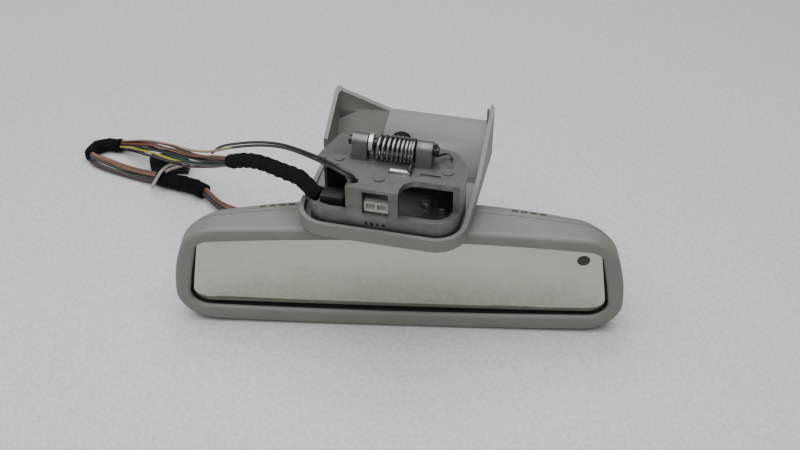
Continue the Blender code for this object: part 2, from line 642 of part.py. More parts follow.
def smooth(points, spacing):
    """Read points at an even spacing from a Catmull-Rom curve through the route."""
    route = [Vector(p) for p in points]
    route = [route[0] * 2 - route[1]] + route + [route[-1] * 2 - route[-2]]
    dense = []
    for i in range(1, len(route) - 2):
        a, b, c, d = route[i - 1:i + 3]
        for k in range(40):
            t = k / 40.0
            dense.append(0.5 * (2 * b + (c - a) * t + (2 * a - 5 * b + 4 * c - d) * t ** 2
                                + (3 * b - a - 3 * c + d) * t ** 3))
    dense.append(route[-2])
    total = sum((q - p).length for p, q in zip(dense, dense[1:]))
    count = max(2, round(total / spacing))
    result = [dense[0]]
    walked = 0.0
    for p, q in zip(dense, dense[1:]):
        walked += (q - p).length
        if walked >= total * len(result) / count and len(result) < count:
            result.append(q)
    result.append(dense[-1])
    return result


def make_spring(mount, lever_frame):
    """Shaft through both bosses, coil round it, wire clip at its end and the sprung latch lever."""
    shaft = rod("spring_shaft", (-23.0, SHAFT_V, SHAFT_Z), (25.6, SHAFT_V, SHAFT_Z), SHAFT_RADIUS, mount)
    paint(shaft, STEEL, 0.25, 1.0)
    steps = 14
    coil = []
    for i in range(COIL_TURNS * steps + 1):
        share = i / (COIL_TURNS * steps)
        angle = -2.0 * math.pi * i / steps
        u = COIL_LEFT + (COIL_RIGHT - COIL_LEFT) * (1.0 - (1.0 - share) ** 1.25)
        coil.append(Vector((u, SHAFT_V + COIL_RADIUS * math.cos(angle),
                            COIL_Z + COIL_RADIUS * math.sin(angle))))
    rear_leg = [Vector((COIL_LEFT, SHAFT_V + COIL_RADIUS, COIL_Z - 9.5 + k)) for k in range(0, 9, 4)]
    front_leg = [Vector((COIL_RIGHT, SHAFT_V + COIL_RADIUS - 0.2, COIL_Z - 2.0)),
                 Vector((COIL_RIGHT, -18.4, 113.6)), Vector((COIL_RIGHT, -28.0, 114.4)),
                 Vector((12.4, -35.6, 114.4))]
    spring = tube("torsion_spring", rear_leg + coil + front_leg, WIRE_RADIUS, mount, smooth_route=False)
    paint(spring, STEEL, 0.25, 1.0)
    clip_route = [(23.9, SHAFT_V + 3.4 * math.cos(a), SHAFT_Z + 3.4 * math.sin(a))
                  for a in [math.radians(-100.0 + 25.0 * k) for k in range(10)]]
    clip_route = clip_route[::-1] + [(27.0, -17.5, 114.2), (30.0, -16.0, 113.8), (32.4, -19.0, 112.7)]
    clip = tube("shaft_clip", clip_route, 0.6, mount, spacing=2.2)
    paint(clip, (0.25, 0.25, 0.24), 0.4, 1.0)
    drop = -SHAFT_Z
    lever = rod("latch_lever", (-11.5, 0.0, 0.0), (-9.4, 0.0, 0.0), 5.0, lever_frame)
    combine(lever, box("lever_arm", (-11.5, -2.6, 104.6 + drop), (-9.4, 2.4, -3.0), lever_frame), "UNION")
    combine(lever,
            box("lever_reach", (-11.45, -14.0, 104.4 + drop), (-9.45, 2.2, 107.4 + drop), lever_frame),
            "UNION")
    combine(lever, box("lever_bar", (-11.4, -13.9, 104.5 + drop), (12.9, -11.8, 107.3 + drop), lever_frame),
            "UNION")
    combine(lever, box("lever_blade", (2.2, -13.8, 104.6 + drop), (12.8, -11.9, 113.0 + drop), lever_frame),
            "UNION")
    combine(lever, rod("lever_bore", (-20.0, 0.0, 0.0), (0.0, 0.0, 0.0), SHAFT_RADIUS + GAP, lever_frame))
    paint(lever, (0.85, 0.85, 0.83), 0.3, 0.6)


def make_terminals(mount):
    block = box("terminal_block", (-8.2, -50.4, 95.6), (4.8, -46.6, 101.6), mount)
    for i, low in enumerate((-7.2, -1.2)):
        combine(block, box(f"terminal_cell_{i + 1}", (low, -54.0, 96.4), (low + 5.0, -47.4, 100.8), mount))
    paint(block, (0.80, 0.80, 0.76), 0.4)
    plug = box("mount_connector", (-33.6, -46.5, 86.0), (-20.5, -38.5, 98.5), mount, edge=0.6)
    paint(plug, DARK, 0.5)


LOOM = [(-42.4, 3.2, 95.0), (-45.6, 5.2, 96.0), (-49.4, 10.0, 96.2), (-54.0, 17.4, 94.8),
        (-66.0, 33.0, 87.5),
        (-82.0, 51.5, 79.0), (-94.0, 65.0, 70.0), (-104.5, 77.0, 60.0), (-117.0, 89.0, 51.0),
        (-132.0, 103.0, 41.0), (-153.0, 123.0, 29.0), (-175.0, 145.0, 17.5), (-190.0, 158.0, 10.0),
        (-203.0, 165.0, 5.2), (-212.0, 166.0, 4.7), (-218.4, 162.6, 4.7), (-220.4, 155.6, 4.7),
        (-217.0, 149.2, 4.7), (-209.0, 145.0, 4.7), (-200.0, 141.0, 4.5), (-188.0, 136.2, 4.4),
        (-177.0, 132.2, 4.8), (-166.0, 128.4, 5.4), (-155.5, 124.8, 5.6), (-144.5, 121.4, 5.6),
        (-135.5, 116.6, 5.4), (-128.6, 110.2, 4.9), (-122.2, 103.4, 4.3), (-112.0, 96.4, 4.0),
        (-98.0, 91.4, 4.0), (-81.0, 87.0, 4.2), (-66.3, 85.6, 5.2)]
LOOM_PIECES = (
    ("loom_sleeve", 0.0, 0.236, SLEEVE_RADIUS, DARK),
    ("loom_upper", 0.236, 0.552, LOOM_RADIUS, (0.28, 0.22, 0.16)),
    ("loom_wrap", 0.552, 0.618, WRAP_RADIUS, DARK),
    ("loom_return", 0.618, 0.748, LOOM_RADIUS, (0.28, 0.22, 0.16)),
    ("loom_lower_wrap", 0.748, 0.828, LOWER_WRAP_RADIUS, DARK),
    ("loom_tail", 0.828, 1.0, LOOM_RADIUS, (0.28, 0.22, 0.16)),
)
LEADS = [(-21.9, -5.4, 110.0), (-23.2, -5.6, 113.6), (-28.0, -4.4, 116.4), (-35.0, 1.0, 117.4),
         (-47.0, 13.0, 115.4), (-65.0, 36.0, 105.0), (-83.0, 56.5, 91.5), (-103.0, 77.0, 74.0),
         (-121.0, 94.0, 57.0), (-134.0, 107.0, 46.0), (-146.0, 119.2, 39.0)]
STUBS = ([(-157.6, 139.4, 8.6), (-158.2, 136.2, 11.6), (-160.6, 131.0, 14.0), (-163.8, 125.8, 13.6),
          (-167.2, 121.6, 9.6), (-170.4, 118.6, 4.6)],
         [(-152.0, 139.7, 9.0), (-151.4, 136.0, 11.4), (-154.0, 132.0, 12.8), (-158.5, 128.6, 13.2),
          (-161.5, 126.0, 12.8)])


def make_harness(base):
    line = smooth(LOOM, 1.0)
    for name, start, end, radius, colour in LOOM_PIECES:
        first = round(start * (len(line) - 1))
        last = round(end * (len(line) - 1))
        piece = line[first:last + 1]
        if start > 0.0:
            piece[0] = piece[0].lerp(piece[1], GAP)
        if end < 1.0:
            piece[-1] = piece[-1].lerp(piece[-2], GAP)
        stride = 5 if name == "loom_wrap" else 8
        kept = piece[:2] + piece[stride:-stride + 1:stride] + piece[-2:]
        paint(tube(name, kept, radius, base, smooth_route=False, resolution=3), colour, 0.8)
    lead = tube("lead_pair", LEADS, LEAD_RADIUS, base, spacing=5.0)
    paint(lead, DARK, 0.5)
    plug = box("loom_connector", (-65.2, 77.6, 0.0), (-33.6, 93.6, 12.0), base, edge=0.8)
    paint(plug, DARK, 0.5)
    small = box("small_connector", (-176.0, 140.4, 0.0), (-150.0, 148.4, 12.0), base, edge=0.8)
    paint(small, DARK, 0.5)
    for i, route in enumerate(STUBS):
        stub = tube(f"stub_lead_{i + 1}", route, STUB_RADIUS, base, spacing=3.0)
        paint(stub, (0.6, 0.58, 0.55), 0.5)


def to_world(u, v, z):
    return MOUNT_PLACE + Matrix.Rotation(MOUNT_YAW, 3, "Z") @ Vector((u, v, z))


def main():
    clear_scene()
    origin = to_world(*PADS["front"], PLATE_TOP + PAD_HEIGHT)
    base = empty("base", -origin)
    head = empty("head", Vector((0.0, 0.0, 0.0)), base)
    ball = empty("ball_centre", BALL, base)
    mount = empty("mount", MOUNT_PLACE, base, MOUNT_YAW)
    lever_frame = empty("lever_axis", Vector((0.0, SHAFT_V, SHAFT_Z)), mount)
    make_bezel(head)
    make_shell(head)
    stack_back = make_glass(head)
    make_electronics(head, make_carrier(head, stack_back))
    make_socket(head)
    make_liner("liner_rear", 1, ball)
    make_liner("liner_front", -1, ball)
    make_stud(mount)
    make_shroud(mount)
    make_bracket(mount)
    make_spring(mount, lever_frame)
    make_terminals(mount)
    make_harness(base)


main()
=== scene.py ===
"""Interior rearview mirror: grey moulded head, die-cast roof mount with its spring, taped wiring loom."""
import math
import random

import bmesh
import bpy
from mathutils import Matrix, Vector


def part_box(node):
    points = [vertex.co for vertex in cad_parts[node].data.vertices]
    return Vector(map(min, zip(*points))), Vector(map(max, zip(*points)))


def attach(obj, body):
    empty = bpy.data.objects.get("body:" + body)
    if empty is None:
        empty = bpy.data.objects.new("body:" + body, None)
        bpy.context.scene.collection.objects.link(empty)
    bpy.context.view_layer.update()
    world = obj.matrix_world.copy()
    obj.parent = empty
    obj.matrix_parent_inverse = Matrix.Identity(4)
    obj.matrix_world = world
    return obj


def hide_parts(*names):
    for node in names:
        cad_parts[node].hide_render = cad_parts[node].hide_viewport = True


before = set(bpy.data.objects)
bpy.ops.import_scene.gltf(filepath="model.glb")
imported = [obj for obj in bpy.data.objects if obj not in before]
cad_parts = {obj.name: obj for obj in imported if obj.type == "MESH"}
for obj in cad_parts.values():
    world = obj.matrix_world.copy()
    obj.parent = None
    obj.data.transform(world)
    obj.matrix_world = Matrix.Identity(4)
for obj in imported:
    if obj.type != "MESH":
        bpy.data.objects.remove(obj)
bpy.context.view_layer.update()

# Studio. The mirror head stands on a plain pale floor under a large soft light, with a weak fill from the
# front. Every place below is given from the middle of the head's foot, with the glass facing -Y.
MM = 0.001
bezel_low, bezel_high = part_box("front_bezel")
HEAD_FOOT = Vector(((bezel_low[0] + bezel_high[0]) / 2, bezel_low[1], bezel_low[2]))


def at(x, y, z):
    """A point in millimetres from the middle of the head's foot, in the frame's metres."""
    return HEAD_FOOT + Vector((x, y, z)) * MM


def linear(code):
    """An sRGB hex colour as linear RGBA."""
    channels = [int(code[i:i + 2], 16) / 255 for i in (1, 3, 5)]
    return [c / 12.92 if c <= 0.04045 else ((c + 0.055) / 1.055) ** 2.4 for c in channels] + [1.0]


def add(tree, kind, links=None, **settings):
    """Add a node; settings are its properties or input values, links name the sockets that feed it."""
    made = tree.nodes.new(kind)
    for key, value in settings.items():
        if hasattr(made, key):
            setattr(made, key, value)
        else:
            made.inputs[key].default_value = value
    for key, source in (links or {}).items():
        tree.links.new(source, made.inputs[key])
    return made


CAMERA_AZIMUTH = math.radians(2.5)
CAMERA_ELEVATION = math.radians(40.0)
CAMERA_DISTANCE = 0.600
AIM = at(1.2, 0.0, 78.0)
camera_data = bpy.data.cameras.new("camera")
camera_data.lens = 50.0
camera_data.sensor_width = 36.0
camera_data.clip_start = 0.01
camera = bpy.data.objects.new("camera", camera_data)
bpy.context.collection.objects.link(camera)
towards_camera = Vector((math.sin(CAMERA_AZIMUTH) * math.cos(CAMERA_ELEVATION),
                         -math.cos(CAMERA_AZIMUTH) * math.cos(CAMERA_ELEVATION), math.sin(CAMERA_ELEVATION)))
camera.location = AIM + towards_camera * CAMERA_DISTANCE
camera.rotation_euler = (-towards_camera).to_track_quat("-Z", "Y").to_euler()
bpy.context.scene.camera = camera

LIGHTS_AIM = at(0.0, 20.0, 40.0)
for name, place, size, power, colour in (
    ("ceiling", at(-100.0, -60.0, 1100.0), 1.5, 25.0, "#fdfdff"),
    ("front_fill", at(200.0, -1300.0, 700.0), 1.2, 1.3, "#fbfff4"),
):
    light_data = bpy.data.lights.new(name, "AREA")
    light_data.size = size
    light_data.energy = power
    light_data.color = linear(colour)[:3]
    light = bpy.data.objects.new(name, light_data)
    light.location = place
    light.rotation_euler = (LIGHTS_AIM - place).to_track_quat("-Z", "Y").to_euler()
    bpy.context.collection.objects.link(light)
world = bpy.data.worlds.new("room")
world.use_nodes = True
world.node_tree.nodes["Background"].inputs["Color"].default_value = linear("#e4e6e4")
world.node_tree.nodes["Background"].inputs["Strength"].default_value = 0.25
bpy.context.scene.world = world

FLOOR_SIZE = 6.0
FLOOR_DROP = 0.0002
floor_mesh = bpy.data.meshes.new("floor")
floor_mesh.from_pydata([(x * FLOOR_SIZE / 2, y * FLOOR_SIZE / 2, HEAD_FOOT.z - FLOOR_DROP)
                        for x, y in ((-1, -1), (1, -1), (1, 1), (-1, 1))], [], [(0, 1, 2, 3)])
floor = bpy.data.objects.new("floor", floor_mesh)
bpy.context.collection.objects.link(floor)
painted = bpy.data.materials.new("pale_painted_board")
painted.use_nodes = True
painted_shader = painted.node_tree.nodes["Principled BSDF"]
floor_place = add(painted.node_tree, "ShaderNodeTexCoord").outputs["Object"]
speckle = add(painted.node_tree, "ShaderNodeTexNoise", {"Vector": floor_place}, Scale=420.0, Detail=4.0)
floor_tone = add(painted.node_tree, "ShaderNodeValToRGB", {"Fac": speckle.outputs["Fac"]})
floor_tone.color_ramp.elements[0].position = 0.36
floor_tone.color_ramp.elements[0].color = linear("#c1c2c0")
floor_tone.color_ramp.elements[1].position = 0.66
floor_tone.color_ramp.elements[1].color = linear("#d0d1cf")
painted.node_tree.links.new(floor_tone.outputs["Color"], painted_shader.inputs["Base Color"])
floor_bump = add(painted.node_tree, "ShaderNodeBump", {"Height": speckle.outputs["Fac"]}, Strength=0.2,
                 Distance=0.0003)
painted.node_tree.links.new(floor_bump.outputs["Normal"], painted_shader.inputs["Normal"])
painted_shader.inputs["Roughness"].default_value = 0.55
floor_mesh.materials.append(painted)


# Wiring loom. Thin automotive wires, 1.5 mm over their coloured PVC insulation, leave the mount in a sleeve
# of black cloth tape, fall to the floor, turn in a loop and come back behind the head to a plug.
# Route points are metres from the middle of the head's foot.
LOOM_ROUTE = [(-0.0424, 0.0032, 0.0950), (-0.0456, 0.0052, 0.0960), (-0.0494, 0.0100, 0.0962),
              (-0.0540, 0.0174, 0.0948), (-0.0660, 0.0330, 0.0875), (-0.0820, 0.0515, 0.0790),
              (-0.0940, 0.0650, 0.0700), (-0.1045, 0.0770, 0.0600), (-0.1170, 0.0890, 0.0510),
              (-0.1320, 0.1030, 0.0410), (-0.1530, 0.1230, 0.0290), (-0.1750, 0.1450, 0.0175),
              (-0.1900, 0.1580, 0.0100), (-0.2030, 0.1650, 0.0052), (-0.2120, 0.1660, 0.0047),
              (-0.2184, 0.1626, 0.0047), (-0.2204, 0.1556, 0.0047), (-0.2170, 0.1492, 0.0047),
              (-0.2090, 0.1450, 0.0047), (-0.2000, 0.1410, 0.0045), (-0.1880, 0.1362, 0.0044),
              (-0.1770, 0.1322, 0.0048), (-0.1660, 0.1284, 0.0054), (-0.1555, 0.1248, 0.0056),
              (-0.1445, 0.1214, 0.0056), (-0.1355, 0.1166, 0.0054), (-0.1286, 0.1102, 0.0049),
              (-0.1222, 0.1034, 0.0043), (-0.1120, 0.0964, 0.0040), (-0.0980, 0.0914, 0.0040),
              (-0.0810, 0.0870, 0.0042), (-0.0663, 0.0856, 0.0052)]
SLEEVE_END = 0.236
WRAPS = (("loom_wrap", 0.552, 0.618, 0.0041), ("loom_lower_wrap", 0.748, 0.828, 0.0047))


SPAN_STEPS = 40


def smooth_route(points, spacing):
    """Even steps along a smooth curve through the points, in the frame."""
    route = [Vector(p) for p in points]
    route = [route[0] * 2 - route[1]] + route + [route[-1] * 2 - route[-2]]
    dense = []
    for i in range(1, len(route) - 2):
        a, b, c, d = route[i - 1:i + 3]
        for k in range(SPAN_STEPS):
            t = k / SPAN_STEPS
            dense.append(0.5 * (2 * b + (c - a) * t + (2 * a - 5 * b + 4 * c - d) * t ** 2
                                + (3 * b - a - 3 * c + d) * t ** 3))
    dense.append(route[-2])
    total = sum((q - p).length for p, q in zip(dense, dense[1:]))
    count = max(2, round(total / spacing))
    result = [dense[0]]
    walked = 0.0
    for p, q in zip(dense, dense[1:]):
        walked += (q - p).length
        if walked >= total * len(result) / count and len(result) < count:
            result.append(q)
    result.append(dense[-1])
    return [HEAD_FOOT + p for p in result]


def insulation(name, colour, roughness=0.42):
    """Extruded PVC insulation: satin, with slow shifts of tone and faint handling marks along the wire."""
    material = bpy.data.materials.new(name)
    material.use_nodes = True
    tree = material.node_tree
    shader = tree.nodes["Principled BSDF"]
    place = add(tree, "ShaderNodeTexCoord").outputs["Object"]
    marks = add(tree, "ShaderNodeTexNoise", {"Vector": place}, Scale=260.0, Detail=5.0)
    tone = add(tree, "ShaderNodeMix", {"Factor": marks.outputs["Fac"]}, data_type="RGBA", blend_type="MIX")
    base = linear(colour)
    tone.inputs[6].default_value = [c * 0.62 for c in base[:3]] + [1.0]
    tone.inputs[7].default_value = [min(1.0, c * 1.3 + 0.01) for c in base[:3]] + [1.0]
    tree.links.new(tone.outputs[2], shader.inputs["Base Color"])
    gloss = add(tree, "ShaderNodeMapRange", {"Value": marks.outputs["Fac"]})
    gloss.inputs["To Min"].default_value = roughness - 0.08
    gloss.inputs["To Max"].default_value = roughness + 0.14
    tree.links.new(gloss.outputs["Result"], shader.inputs["Roughness"])
    bump = add(tree, "ShaderNodeBump", {"Height": marks.outputs["Fac"]}, Strength=0.12, Distance=0.0003)
    tree.links.new(bump.outputs["Normal"], shader.inputs["Normal"])
    return material


def wire_curve(name, points, radius, material):
    """A round wire with closed ends through the points."""
    data = bpy.data.curves.new(name, "CURVE")
    data.dimensions = "3D"
    data.bevel_depth = radius
    data.bevel_resolution = 4
    data.use_fill_caps = True
    data.resolution_u = 5
    spline = data.splines.new("BEZIER")
    spline.bezier_points.add(len(points) - 1)
    for bezier, place in zip(spline.bezier_points, points):
        bezier.co = place
        bezier.handle_left_type = "AUTO"
        bezier.handle_right_type = "AUTO"
    data.materials.append(material)
    obj = bpy.data.objects.new(name, data)
    bpy.context.collection.objects.link(obj)
    return obj


WEAVE_PITCH = 0.0005
THREADS_AROUND = 52


def cloth_tape():
    """Woven cloth harness tape: dead matt black, with a 0.5 mm weave and lint that break up its edge."""
    material = bpy.data.materials.new("cloth_harness_tape")
    material.use_nodes = True
    tree = material.node_tree
    shader = tree.nodes["Principled BSDF"]
    along = add(tree, "ShaderNodeAttribute", attribute_name="along")
    around = add(tree, "ShaderNodeAttribute", attribute_name="around")
    warp = add(tree, "ShaderNodeMath", {0: along.outputs["Fac"]}, operation="MULTIPLY")
    warp.inputs[1].default_value = 2 * math.pi / WEAVE_PITCH
    weft = add(tree, "ShaderNodeMath", {0: around.outputs["Fac"]}, operation="MULTIPLY")
    weft.inputs[1].default_value = 2 * math.pi * THREADS_AROUND
    threads = [add(tree, "ShaderNodeMath", {0: phase.outputs[0]}, operation="SINE").outputs[0]
               for phase in (warp, weft)]
    weave = add(tree, "ShaderNodeMath", {0: threads[0], 1: threads[1]}, operation="MULTIPLY")
    place = add(tree, "ShaderNodeTexCoord").outputs["Object"]
    lint = add(tree, "ShaderNodeTexNoise", {"Vector": place}, Scale=900.0, Detail=3.0)
    folds = add(tree, "ShaderNodeTexNoise", {"Vector": place}, Scale=120.0, Detail=4.0)
    tone = add(tree, "ShaderNodeValToRGB", {"Fac": folds.outputs["Fac"]})
    tone.color_ramp.elements[0].position = 0.35
    tone.color_ramp.elements[0].color = linear("#050606")
    tone.color_ramp.elements[1].position = 0.75
    tone.color_ramp.elements[1].color = linear("#101212")
    tree.links.new(tone.outputs["Color"], shader.inputs["Base Color"])
    shader.inputs["Roughness"].default_value = 0.92
    shader.inputs["Specular IOR Level"].default_value = 0.18
    height = add(tree, "ShaderNodeMath", {0: weave.outputs[0], 1: lint.outputs["Fac"]}, operation="ADD")
    bump = add(tree, "ShaderNodeBump", {"Height": height.outputs[0]}, Strength=0.5, Distance=0.0002)
    tree.links.new(bump.outputs["Normal"], shader.inputs["Normal"])
    return material


def tape_tree():
    """Tape wound round a route: a tube whose overlapping turns step up by the tape's thickness."""
    tree = bpy.data.node_groups.new("wound_tape", "GeometryNodeTree")
    tree.interface.new_socket("Geometry", in_out="INPUT", socket_type="NodeSocketGeometry")
    for label, low in (("Radius", 0.004), ("Pitch", 0.009), ("Step", 0.0004)):
        made = tree.interface.new_socket(label, in_out="INPUT", socket_type="NodeSocketFloat")
        made.default_value = low
    tree.interface.new_socket("Material", in_out="INPUT", socket_type="NodeSocketMaterial")
    tree.interface.new_socket("Geometry", in_out="OUTPUT", socket_type="NodeSocketGeometry")
    given = tree.nodes.new("NodeGroupInput")
    even = add(tree, "GeometryNodeResampleCurve", {"Curve": given.outputs["Geometry"]}, mode="LENGTH")
    even.inputs["Length"].default_value = 0.0006
    length = add(tree, "GeometryNodeSplineParameter").outputs["Length"]
    rail = add(tree, "GeometryNodeStoreNamedAttribute", {"Geometry": even.outputs["Curve"]}, domain="POINT",
               data_type="FLOAT")
    rail.inputs["Name"].default_value = "along"
    tree.links.new(length, rail.inputs["Value"])
    circle = add(tree, "GeometryNodeCurvePrimitiveCircle", {"Radius": given.outputs["Radius"]},
                 Resolution=32)
    turn = add(tree, "GeometryNodeSplineParameter").outputs["Factor"]
    profile = add(tree, "GeometryNodeStoreNamedAttribute", {"Geometry": circle.outputs["Curve"]},
                  domain="POINT", data_type="FLOAT")
    profile.inputs["Name"].default_value = "around"
    tree.links.new(turn, profile.inputs["Value"])
    skin = add(tree, "GeometryNodeCurveToMesh", {"Curve": rail.outputs["Geometry"],
                                                 "Profile Curve": profile.outputs["Geometry"]})
    skin.inputs["Fill Caps"].default_value = True
    along = add(tree, "GeometryNodeInputNamedAttribute", data_type="FLOAT")
    along.inputs["Name"].default_value = "along"
    around = add(tree, "GeometryNodeInputNamedAttribute", data_type="FLOAT")
    around.inputs["Name"].default_value = "around"
    turns = add(tree, "ShaderNodeMath", {0: along.outputs[0], 1: given.outputs["Pitch"]},
                operation="DIVIDE")
    phase = add(tree, "ShaderNodeMath", {0: turns.outputs[0], 1: around.outputs[0]}, operation="ADD")
    part = add(tree, "ShaderNodeMath", {0: phase.outputs[0]}, operation="FRACT")
    ramp = add(tree, "ShaderNodeMath", {0: part.outputs[0]}, operation="POWER")
    ramp.inputs[1].default_value = 3.0
    step = add(tree, "ShaderNodeMath", {0: ramp.outputs[0], 1: given.outputs["Step"]}, operation="MULTIPLY")
    wrinkle = add(tree, "ShaderNodeTexNoise", Scale=150.0, Detail=2.0)
    crease = add(tree, "ShaderNodeMath", {0: wrinkle.outputs["Fac"]}, operation="MULTIPLY")
    crease.inputs[1].default_value = 0.0006
    height = add(tree, "ShaderNodeMath", {0: step.outputs[0], 1: crease.outputs[0]}, operation="ADD")
    facing = add(tree, "GeometryNodeInputNormal").outputs["Normal"]
    outward = add(tree, "ShaderNodeVectorMath", {"Vector": facing, "Scale": height.outputs[0]},
                  operation="SCALE")
    moved = add(tree, "GeometryNodeSetPosition", {"Geometry": skin.outputs["Mesh"],
                                                  "Offset": outward.outputs["Vector"]})
    smooth = add(tree, "GeometryNodeSetShadeSmooth", {"Geometry": moved.outputs["Geometry"]})
    real = add(tree, "GeometryNodeRealizeInstances", {"Geometry": smooth.outputs["Geometry"]})
    painted = add(tree, "GeometryNodeSetMaterial", {"Geometry": real.outputs["Geometry"],
                                                    "Material": given.outputs["Material"]})
    result = tree.nodes.new("NodeGroupOutput")
    tree.links.new(painted.outputs["Geometry"], result.inputs["Geometry"])
    return tree


def grown(name, source, tree, **values):
    """The plain mesh that a node tree makes from a guide object; the guide is removed."""
    modifier = source.modifiers.new("grow", "NODES")
    modifier.node_group = tree
    for item in tree.interface.items_tree:
        if item.in_out == "INPUT" and item.name in values:
            modifier[item.identifier] = values[item.name]
    graph = bpy.context.evaluated_depsgraph_get()
    graph.update()
    mesh = bpy.data.meshes.new_from_object(source.evaluated_get(graph))
    bpy.data.objects.remove(source)
    obj = bpy.data.objects.new(name, mesh)
    bpy.context.collection.objects.link(obj)
    return obj


def guide_line(points):
    """A bare curve through the points, for a node tree to build on."""
    data = bpy.data.curves.new("guide", "CURVE")
    data.dimensions = "3D"
    spline = data.splines.new("POLY")
    spline.points.add(len(points) - 1)
    for point, place in zip(spline.points, points):
        point.co = (*place, 1.0)
    guide = bpy.data.objects.new("guide", data)
    bpy.context.collection.objects.link(guide)
    return guide


tape = cloth_tape()
wound_tape = tape_tree()
loom_line = smooth_route(LOOM_ROUTE, 0.001)
last = len(loom_line) - 1
sleeve_line = loom_line[:round(SLEEVE_END * last) + 1]
sleeve = grown("tape_sleeve", guide_line(sleeve_line), wound_tape, Radius=0.0039, Pitch=0.0095, Step=0.0005,
               Material=tape)
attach(sleeve, "mount")
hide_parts("loom_sleeve")

# Each wire: its colour, then at the sleeve, where the fan is widest, on the floor and at the plug, its place
# across the fan (-1 to 1) and its row in the bundle's thickness.
WIRES = (
    ("pink_wire", "#84695f", (0.10, 1.00, 0.95, 0.7), (0.0, 0.0, 0.0, 0.0)),
    ("rose_wire", "#71574c", (-0.10, 0.84, 0.62, 0.3), (1.0, 1.0, 1.0, 1.0)),
    ("brown_wire", "#5a4134", (0.45, 0.74, 0.75, 1.0), (-1.0, -1.0, 1.0, 1.0)),
    ("black_wire", "#141617", (0.30, 0.50, 0.30, 0.0), (0.0, 0.0, 0.0, 0.0)),
    ("grey_wire", "#35393a", (-0.35, 0.30, 0.10, -0.3), (1.0, 1.0, 1.0, 1.0)),
    ("second_black_wire", "#18191a", (-0.10, 0.12, -0.05, -0.6), (-1.0, -1.0, -1.0, -1.0)),
    ("green_wire", "#24594a", (-0.62, -0.08, -0.85, -1.0), (0.0, 0.0, 0.0, 0.0)),
    ("olive_wire", "#343831", (-0.75, -0.62, -0.60, -0.8), (-1.0, -1.0, -1.0, -1.0)),
    ("yellow_wire", "#aba43c", (-0.45, -0.46, -0.10, 0.1), (1.0, -1.0, -1.0, -1.0)),
    ("taupe_wire", "#574f47", (-0.88, -0.68, -0.45, 0.5), (0.0, 0.0, 0.0, 0.0)),
    ("plum_wire", "#3f1f2a", (-1.00, -0.90, -0.98, -0.5), (1.0, 1.0, 1.0, 1.0)),
    ("orange_wire", "#7b4c39", (0.80, 0.46, 0.30, 0.9), (-1.0, -1.0, 1.0, 1.0)),
)
STATIONS = (0.225, 0.42, 0.70, 1.0)
FAN = ((0.225, 0.0024), (0.30, 0.0040), (0.40, 0.0060), (0.47, 0.0058), (0.552, 0.0030), (0.618, 0.0028),
       (0.65, 0.0040), (0.70, 0.0034), (0.748, 0.0030), (0.828, 0.0026), (0.90, 0.0034), (1.0, 0.0030))
ROW_HEIGHT = 0.00125
WIRE_RADIUS = 0.00075
FAN_SIDE = Vector((0.0, 0.64, 0.77))
WIRE_POINTS = 40
WIRE_WANDER = 0.10
WANDER_RATE = 31.0
FLOOR_CLEARANCE = 0.0001


def read_off(pairs, at_share):
    """Value between (share, value) pairs, eased at each."""
    for (a, low), (b, high) in zip(pairs, pairs[1:]):
        if at_share <= b:
            t = max(0.0, (at_share - a) / (b - a))
            return low + (high - low) * t * t * (3 - 2 * t)
    return pairs[-1][1]


random.seed(7)
for name, colour, places, rows in WIRES:
    drift = random.uniform(0.0, 6.3)
    points = []
    for k in range(WIRE_POINTS):
        share = STATIONS[0] + (1.0 - STATIONS[0]) * k / (WIRE_POINTS - 1)
        station = min(last, round(share * last))
        here = loom_line[station]
        ahead = (loom_line[min(station + 3, last)] - loom_line[max(station - 3, 0)]).normalized()
        fan = (FAN_SIDE - ahead * FAN_SIDE.dot(ahead)).normalized()
        through = ahead.cross(fan)
        wander = WIRE_WANDER * math.sin(drift + share * WANDER_RATE)
        across = (read_off(list(zip(STATIONS, places)), share) + wander) * read_off(FAN, share)
        row = read_off(list(zip(STATIONS, rows)), share)
        place = here + fan * across + through * (row * ROW_HEIGHT)
        place.z = max(place.z, HEAD_FOOT.z + WIRE_RADIUS + FLOOR_CLEARANCE)
        points.append(place)
    wire = wire_curve(name, points, WIRE_RADIUS, insulation(f"{name}_pvc", colour))
    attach(wire, "mount")
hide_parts("loom_upper", "loom_return", "loom_tail")

for name, begin, end, radius in WRAPS:
    line = loom_line[round(begin * last):round(end * last) + 1]
    wrap = grown(f"{name}_tape", guide_line(line), wound_tape, Radius=radius, Pitch=0.0085, Step=0.0005,
                 Material=tape)
    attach(wrap, "mount")
    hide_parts(name)

# Two thin leads leave the casting beside its open left corner, arch over it and run on to the loom. The
# longer one has lost its black jacket near the end, where the tan insulation shows.
LEAD_ROUTE = [(-0.0219, -0.0054, 0.1100), (-0.0232, -0.0056, 0.1136), (-0.0280, -0.0044, 0.1164),
              (-0.0350, 0.0010, 0.1166), (-0.0470, 0.0130, 0.1134), (-0.0650, 0.0360, 0.1022),
              (-0.0830, 0.0565, 0.0885), (-0.1030, 0.0770, 0.0716), (-0.1210, 0.0940, 0.0556),
              (-0.1340, 0.1070, 0.0460), (-0.1460, 0.1192, 0.0390)]
LEAD_RADIUS = 0.0008
LEAD_DIP = 0.0036
LEAD_SPREAD = 0.00082
LEAD_BULGE = 0.0003
LEAD_SIDE = Vector((0.4, -0.6, 0.6))
SHORTER_BY = 9
TAN_FROM = -0.103


